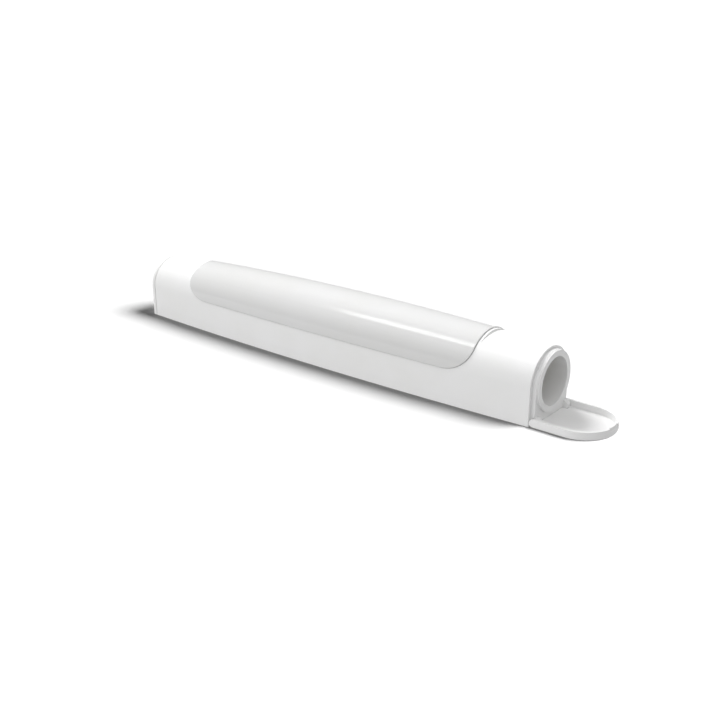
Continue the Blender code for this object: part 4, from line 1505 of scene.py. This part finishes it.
@dataclass
class Contents:
    """The rolled blanket, its pull tapes and the foam behind it.

    Attributes:
        axis_height: The height of the tube's axis.
        rear: Where the roll starts.
        front: Where it ends.
        radius: Its outer radius.
        core: The radius that it is rolled from.
        pitch: How much the radius grows in one turn.
        layer: The thickness of one layer of cloth.
        steps: Points in one turn.
        tape_turns: The angles of the two pull tapes.
        tape_half: Half a tape's width, in degrees about the axis.
    """

    axis_height: float = 40.9
    rear: float = -274.7
    front: float = 273.9
    radius: float = 25.5
    core: float = 2.5
    pitch: float = 1.745
    layer: float = 0.66
    steps: int = 48
    tape_turns: tuple[float, float] = (150.0, 205.0)
    tape_half: float = 21.0

    def stitch(self) -> bpy.types.Object:
        """Builds one stitch, a short rounded bar along X."""
        rings = []
        for x, radius in ((-1.3, 0.1), (-1.0, 0.28), (0.0, 0.34), (1.0, 0.28), (1.3, 0.1)):
            turns = [math.tau * n / 6 for n in range(6)]
            rings.append([(x, radius * math.cos(turn), radius * math.sin(turn)) for turn in turns])
        points: list[Point] = []
        faces: list[Face] = []
        band(points, faces, rings)
        return make_piece("stitch_template", points, faces, THREAD, 60)

    def sew(self, name: str, paths: list[list[Point]], spacing: float) -> bpy.types.Object:
        """Sews along paths.

        Args:
            name: The piece's name.
            paths: Open paths, in millimetres.
            spacing: The distance between stitches.

        Returns:
            The stitches as one piece.
        """
        mesh = bpy.data.meshes.new(name)
        points: list[Point] = []
        edges: list[tuple[int, int]] = []
        for path in paths:
            base = len(points)
            points += [tuple(c * MM for c in point) for point in path]
            edges += [(base + n, base + n + 1) for n in range(len(path) - 1)]
        mesh.from_pydata(points, edges, [])
        seam = bpy.data.objects.new(name, mesh)
        bpy.context.scene.collection.objects.link(seam)
        template = self.stitch()
        values = {"Stitch": template, "Spacing": spacing * MM, "Finish": THREAD.material()}
        stitching_tree().put_on(seam, values)
        bake(seam)
        bpy.data.objects.remove(template)
        return seam

    def section(self) -> list[tuple[float, float]]:
        """The doubled cloth's section, as (x, height off its middle): two layers joined at the rear fold."""
        count = 14
        thick, slack = self.layer, 0.04
        top = thick + slack
        xs = [self.front - (self.front - self.rear - 1.0) * n / count for n in range(count + 1)]
        made = [(x, top) for x in xs]
        made += [(self.rear + 0.3, top * 0.75), (self.rear, 0.0), (self.rear + 0.3, -top * 0.75)]
        made += [(x, -top) for x in reversed(xs)]
        made += [(self.front + 0.15, -top / 2)]
        made += [(x, -slack) for x in xs]
        made += [(self.rear + 1.1, 0.0)]
        made += [(x, slack) for x in reversed(xs)]
        made += [(self.front + 0.15, top / 2)]
        return made

    def build_roll(self) -> bpy.types.Object:
        """Builds the cloth, folded once and rolled up, with a UV map in metres."""
        section = self.section()
        half = self.layer + 0.04
        outer = self.radius - half
        turns = (outer - self.core) / self.pitch
        total = int(turns * self.steps)
        rings, lengths, length = [], [], 0.0
        for k in range(total + 1):
            turn = math.tau * k / self.steps
            radius = self.core + self.pitch * k / self.steps
            if k:
                length += radius * math.tau / self.steps
            lengths.append(length)
            angle = turn - math.tau * total / self.steps + math.radians(235.0)
            ring = []
            for x, off in section:
                wave = 0.11 * math.sin(x / 31.0 + 3.0 * angle) * math.sin(2.0 * angle + x / 57.0)
                creep = 0.5 * math.sin(1.7 * turn) * (x - self.rear) / (self.front - self.rear)
                reach = min(self.radius, radius + off + wave)
                ring.append(
                    (x - abs(creep), reach * math.cos(angle), self.axis_height + reach * math.sin(angle))
                )
            rings.append(ring)
        points: list[Point] = []
        faces: list[Face] = []
        band(points, faces, rings)
        roll = make_piece("rolled_glass_cloth", points, faces, GLASS_CLOTH, 60, recalculate=False)
        self.map_uv(roll, lambda n: (section[n % len(section)][0], lengths[n // len(section)]))
        return roll

    @staticmethod
    def map_uv(piece: bpy.types.Object, place: Callable[[int], tuple[float, float]]) -> None:
        """Gives a piece a UV map in metres from a place in millimetres for each point."""
        layer = piece.data.uv_layers.new(name="weave")
        for loop in piece.data.loops:
            u, v = place(loop.vertex_index)
            layer.data[loop.index].uv = (u * MM, v * MM)

    def build_tape(self, name: str, turn: float) -> bpy.types.Object:
        """Builds one webbing tape, doubled back on itself along the bore's wall.

        Args:
            name: The piece's name.
            turn: Its angle about the tube's axis.

        Returns:
            The tape.
        """
        start, end = self.front + 0.3, self.front + 21.3
        outer, thick = self.radius - 0.7, 1.0
        low = outer - 2 * thick - 0.9
        middle, bend = (outer + low) / 2, (outer - low) / 2
        path: list[tuple[float, float, float]] = [(start, outer - thick / 2, 0.0)]
        path += [(start + (end - bend - start) * n / 6, outer - thick / 2, 0.0) for n in range(1, 7)]
        for n in range(1, 8):
            angle = math.radians(90.0 - 180.0 * n / 8)
            reach = bend - thick / 2
            path.append((end - bend + reach * math.cos(angle), middle + reach * math.sin(angle), 0.0))
        path += [(end - bend - (end - bend - start - 3.0) * n / 6, low + thick / 2, 0.0) for n in range(7)]
        rings = []
        lengths = [0.0]
        for n, (x, radius, _) in enumerate(path):
            before, after = path[max(0, n - 1)], path[min(len(path) - 1, n + 1)]
            way = Vector((after[0] - before[0], after[1] - before[1])).normalized()
            normal = Vector((-way.y, way.x))
            if n:
                lengths.append(lengths[-1] + math.hypot(x - path[n - 1][0], radius - path[n - 1][1]))
            ring = []
            across = 12
            for sign, order in ((1, range(across + 1)), (-1, range(across, -1, -1))):
                for m in order:
                    share = -1.0 + 2.0 * m / across
                    edge = 0.55 if abs(share) == 1.0 else 1.0
                    off = sign * thick / 2 * edge
                    reach = radius + normal.y * off
                    angle = math.radians(turn + self.tape_half * share)
                    place = (
                        x + normal.x * off, reach * math.cos(angle),
                        self.axis_height + reach * math.sin(angle)
                    )
                    ring.append(place)
            rings.append(ring)
        points: list[Point] = []
        faces: list[Face] = []
        band(points, faces, rings)
        tape = make_piece(name, points, faces, WEBBING, 60)
        count = len(rings[0])
        widths = [m for m in range(13)] + [m for m in range(12, -1, -1)]
        if len(tape.data.vertices) == len(points):
            self.map_uv(tape, lambda n: (widths[n % count] * 1.5, lengths[n // count]))
        return tape

    def tape_seam(self, turn: float) -> list[list[Point]]:
        """The sewn box that holds a tape's end, on the side that faces the axis."""
        start, end = self.front + 5.0, self.front + 13.0
        radius = self.radius - 0.7 - 2.9 - 0.05
        rows = []
        for share in (-0.72, 0.72):
            place = turn + self.tape_half * share
            rows.append([self.on_wall(start + (end - start) * n / 4, place, radius) for n in range(5)])
        for x in (start, end):
            rows.append(
                [self.on_wall(x, turn + self.tape_half * (-0.72 + 1.44 * n / 8), radius) for n in range(9)]
            )
        return rows

    def on_wall(self, x: float, turn: float, radius: float) -> Point:
        """A point at an angle and radius about the tube's axis."""
        angle = math.radians(turn)
        return (x, radius * math.cos(angle), self.axis_height + radius * math.sin(angle))

    def build_foam(self) -> bpy.types.Object:
        """Builds the foam behind the roll, with soft edges and a crowned face."""
        low, high = -299.0, -275.0
        radius = 26.4
        rings = []
        stations = [
            (low, 0.25), (low, 0.6), (low + 0.2, 0.88), (low + 1.0, 0.97), (low + 3.0, 1.0), (high - 4.0, 1.0)
        ]
        stations += [(high - 2.0, 0.975), (high - 0.9, 0.9), (high - 0.35, 0.7), (high - 0.1, 0.35)]
        for x, share in stations:
            rings.append([self.on_wall(x, 360.0 * n / 64, radius * share) for n in range(64)])
        points: list[Point] = []
        faces: list[Face] = []
        band(points, faces, rings)
        return make_piece("foam_bumper", points, faces, FOAM, 60)

    def build(self) -> None:
        """Builds and places the soft pieces."""
        roll = self.build_roll()
        edge = [
            self.on_wall(self.rear + 4.0 + (self.front - self.rear - 8.0) * n / 60, 228.0, self.radius - 0.05)
            for n in range(61)
        ]
        hem = self.sew("hem_stitches", [edge], 3.6)
        place_piece(roll, Body.BLANKET, GLASS_CLOTH, "blanket_roll")
        place_piece(hem, Body.BLANKET, THREAD)
        for word, turn in zip(("upper", "lower"), self.tape_turns):
            tape = self.build_tape(f"webbing_pull_{word}", turn)
            seam = self.sew(f"tape_stitches_{word}", self.tape_seam(turn), 3.2)
            place_piece(tape, Body.BLANKET, WEBBING, f"pull_tab_{word}")
            place_piece(seam, Body.BLANKET, THREAD)
        foam = self.build_foam()
        place_piece(foam, Body.CONTAINER, FOAM, "rear_bumper")


@dataclass(frozen=True)
class Softbox:
    """A rectangular studio light.

    Attributes:
        name: Its name.
        towards: The direction from the model to it.
        distance: How far off it hangs, in metres.
        size: Its width and height.
        radiance: The brightness of its face.
    """

    name: str
    towards: Point
    distance: float
    size: tuple[float, float]
    radiance: float

    def hang(self, aim: Point, turn: float = 0.0) -> bpy.types.Object:
        """Hangs the light so that it faces a point.

        Args:
            aim: The point that it faces, in metres.
            turn: How far it is turned about its own axis, in degrees.

        Returns:
            The lamp.
        """
        data = bpy.data.lights.new(self.name, "AREA")
        data.shape, data.size, data.size_y = "RECTANGLE", *self.size
        # A face of radiance L sends out pi * L watts from each square metre.
        data.energy = self.radiance * math.pi * self.size[0] * self.size[1]
        lamp = bpy.data.objects.new(self.name, data)
        way = Vector(self.towards).normalized()
        lamp.location = Vector(aim) + way * self.distance
        spin = Matrix.Rotation(math.radians(turn), 4, "Z")
        lamp.rotation_euler = ((-way).to_track_quat("-Z", "Y").to_matrix().to_4x4() @ spin).to_euler()
        bpy.context.scene.collection.objects.link(lamp)
        return lamp


@dataclass(frozen=True)
class FarLight:
    """A far light with a wide, soft disc, which doesn't show in reflections.

    Attributes:
        name: Its name.
        towards: The direction from the model to it.
        strength: Its strength.
        angle: The width of its disc, in degrees.
        lights: What it falls on.
    """

    name: str
    towards: Point
    strength: float
    angle: float
    lights: Lights

    def hang(self) -> bpy.types.Object:
        """Adds the light."""
        data = bpy.data.lights.new(self.name, "SUN")
        data.energy, data.angle = self.strength, math.radians(self.angle)
        lamp = bpy.data.objects.new(self.name, data)
        lamp.location = Vector(self.towards) * 3.0
        lamp.rotation_euler = (-Vector(self.towards)).to_track_quat("-Z", "Y").to_euler()
        lamp.visible_glossy = False
        bpy.context.scene.collection.objects.link(lamp)
        return lamp


@dataclass
class Studio:
    """The pale floor, the soft lights and the camera.

    Attributes:
        eye: Where the camera is, in metres.
        right: The camera's right.
        up: The camera's up.
        lens: Its focal length on a 36 mm sensor.
        sky: The brightness of the white room.
        suns: The far lights: one for the floor and three for the model.
        strip: The softbox that draws the bright line along the glossy cover.
    """

    eye: Point = (0.7343847, -0.8362296, 0.4032648)
    right: Point = (0.769357, 0.638814, 0.002336)
    up: Point = (-0.223406, 0.265631, 0.937833)
    lens: float = 47.02
    sky: float = 0.07
    suns: tuple[FarLight, ...] = (
        FarLight("floor_key", (0.53, 0.40, 0.82), 8.7, 34.0, Lights.FLOOR),
        FarLight("model_key", (-0.66, 0.20, 0.72), 2.7, 30.0, Lights.MODEL),
        FarLight("room_above", (-0.30, -0.10, 1.0), 2.35, 179.0, Lights.MODEL),
        FarLight("room_below", (-0.30, -0.10, -1.0), 1.75, 179.0, Lights.MODEL),
    )
    strip: Softbox = Softbox("strip_softbox", (-0.515, -0.324, 0.794), 1.6, (0.6, 0.29), 4.6)

    def build(self) -> None:
        """Builds the floor, the lights, the sky and the camera."""
        floor = self.build_floor()
        for sun in self.suns:
            self.flag(sun.hang(), floor, sun.lights)
        self.flag(self.strip.hang((0.2, -0.03, 0.07), 57.5), floor, Lights.MODEL)
        world = bpy.data.worlds.new("white_studio")
        world.use_nodes = True
        background = world.node_tree.nodes["Background"]
        background.inputs["Strength"].default_value = self.sky
        # The backdrop is white to look at, and dim as a light.
        backdrop = add_node(world.node_tree, "ShaderNodeBackground", {"Color": (1.0, 1.0, 1.0, 1.0)})
        seen = add_node(world.node_tree, "ShaderNodeLightPath").outputs["Is Camera Ray"]
        links = {0: seen, 1: background.outputs[0], 2: backdrop.outputs[0]}
        room = add_node(world.node_tree, "ShaderNodeMixShader", links)
        world.node_tree.links.new(room.outputs[0], world.node_tree.nodes["World Output"].inputs["Surface"])
        background.inputs["Color"].default_value = (1.0, 1.0, 1.0, 1.0)
        bpy.context.scene.world = world
        bpy.context.scene.view_settings.view_transform = "Standard"
        self.build_camera()

    def build_floor(self) -> bpy.types.Object:
        """Builds the floor: one plain sheet that rises gently far away, so that it has no horizon."""
        reaches = [0.0, 2.0, 4.0, 7.0, 11.0, 16.0, 22.0, 30.0, 40.0]
        points: list[Point] = [(0.0, 0.0, -0.0002)]
        faces: list[Face] = []
        steps = 64
        for reach in reaches[1:]:
            height = -0.0002 + 0.0022 * max(0.0, reach - 4.0) ** 2
            for n in range(steps):
                turn = math.tau * n / steps
                points.append((reach * math.cos(turn), reach * math.sin(turn), height))
        for n in range(steps):
            faces.append((0, 1 + n, 1 + (n + 1) % steps))
            for ring in range(len(reaches) - 2):
                a, b = 1 + ring * steps + n, 1 + ring * steps + (n + 1) % steps
                faces.append((a, a + steps, b + steps, b))
        mesh = bpy.data.meshes.new("studio_floor")
        mesh.from_pydata(points, [], faces)
        mesh.shade_smooth()
        floor = bpy.data.objects.new("studio_floor", mesh)
        bpy.context.scene.collection.objects.link(floor)
        # The photo shows no light from the floor on the sides, so the floor sends none to the model.
        floor.visible_diffuse = False
        Finish("matt_paper_floor", "white_plastic", "#BEBEBE", 0.9).dress(floor)
        return floor

    @staticmethod
    def flag(lamp: bpy.types.Object, floor: bpy.types.Object, lights: Lights) -> None:
        """Flags a lamp off the floor, or off the model.

        Args:
            lamp: The lamp.
            floor: The floor.
            lights: What it may fall on.
        """
        group = bpy.data.collections.new(f"{lamp.name}_lights")
        group.objects.link(floor)
        lamp.light_linking.receiver_collection = group
        state = "INCLUDE" if lights is Lights.FLOOR else "EXCLUDE"
        group.collection_objects[0].light_linking.link_state = state
        if lights is Lights.MODEL:
            lamp.light_linking.blocker_collection = group

    def build_camera(self) -> None:
        """Adds the camera at its fitted place."""
        data = bpy.data.cameras.new("studio_camera")
        data.lens, data.sensor_width, data.clip_start, data.clip_end = self.lens, 36.0, 0.01, 200.0
        camera = bpy.data.objects.new("studio_camera", data)
        right, up = Vector(self.right), Vector(self.up)
        back = right.cross(up)
        turn = Matrix((right, up, back)).transposed().to_4x4()
        camera.matrix_world = Matrix.Translation(Vector(self.eye)) @ turn
        bpy.context.scene.collection.objects.link(camera)
        bpy.context.scene.camera = camera


def main() -> None:
    """Builds the finished pieces round the frame and reports each one."""
    logging.basicConfig(level=logging.INFO, format="%(name)s %(message)s")
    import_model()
    Studio().build()
    form = BodyForm()
    mouth = Mouth(form)
    Housing(form).build()
    ClosedEnd(form).build()
    mouth.build()
    Flap(mouth).build()
    Fixings().build(form)
    Contents().build()


if __name__ == "__main__":
    main()
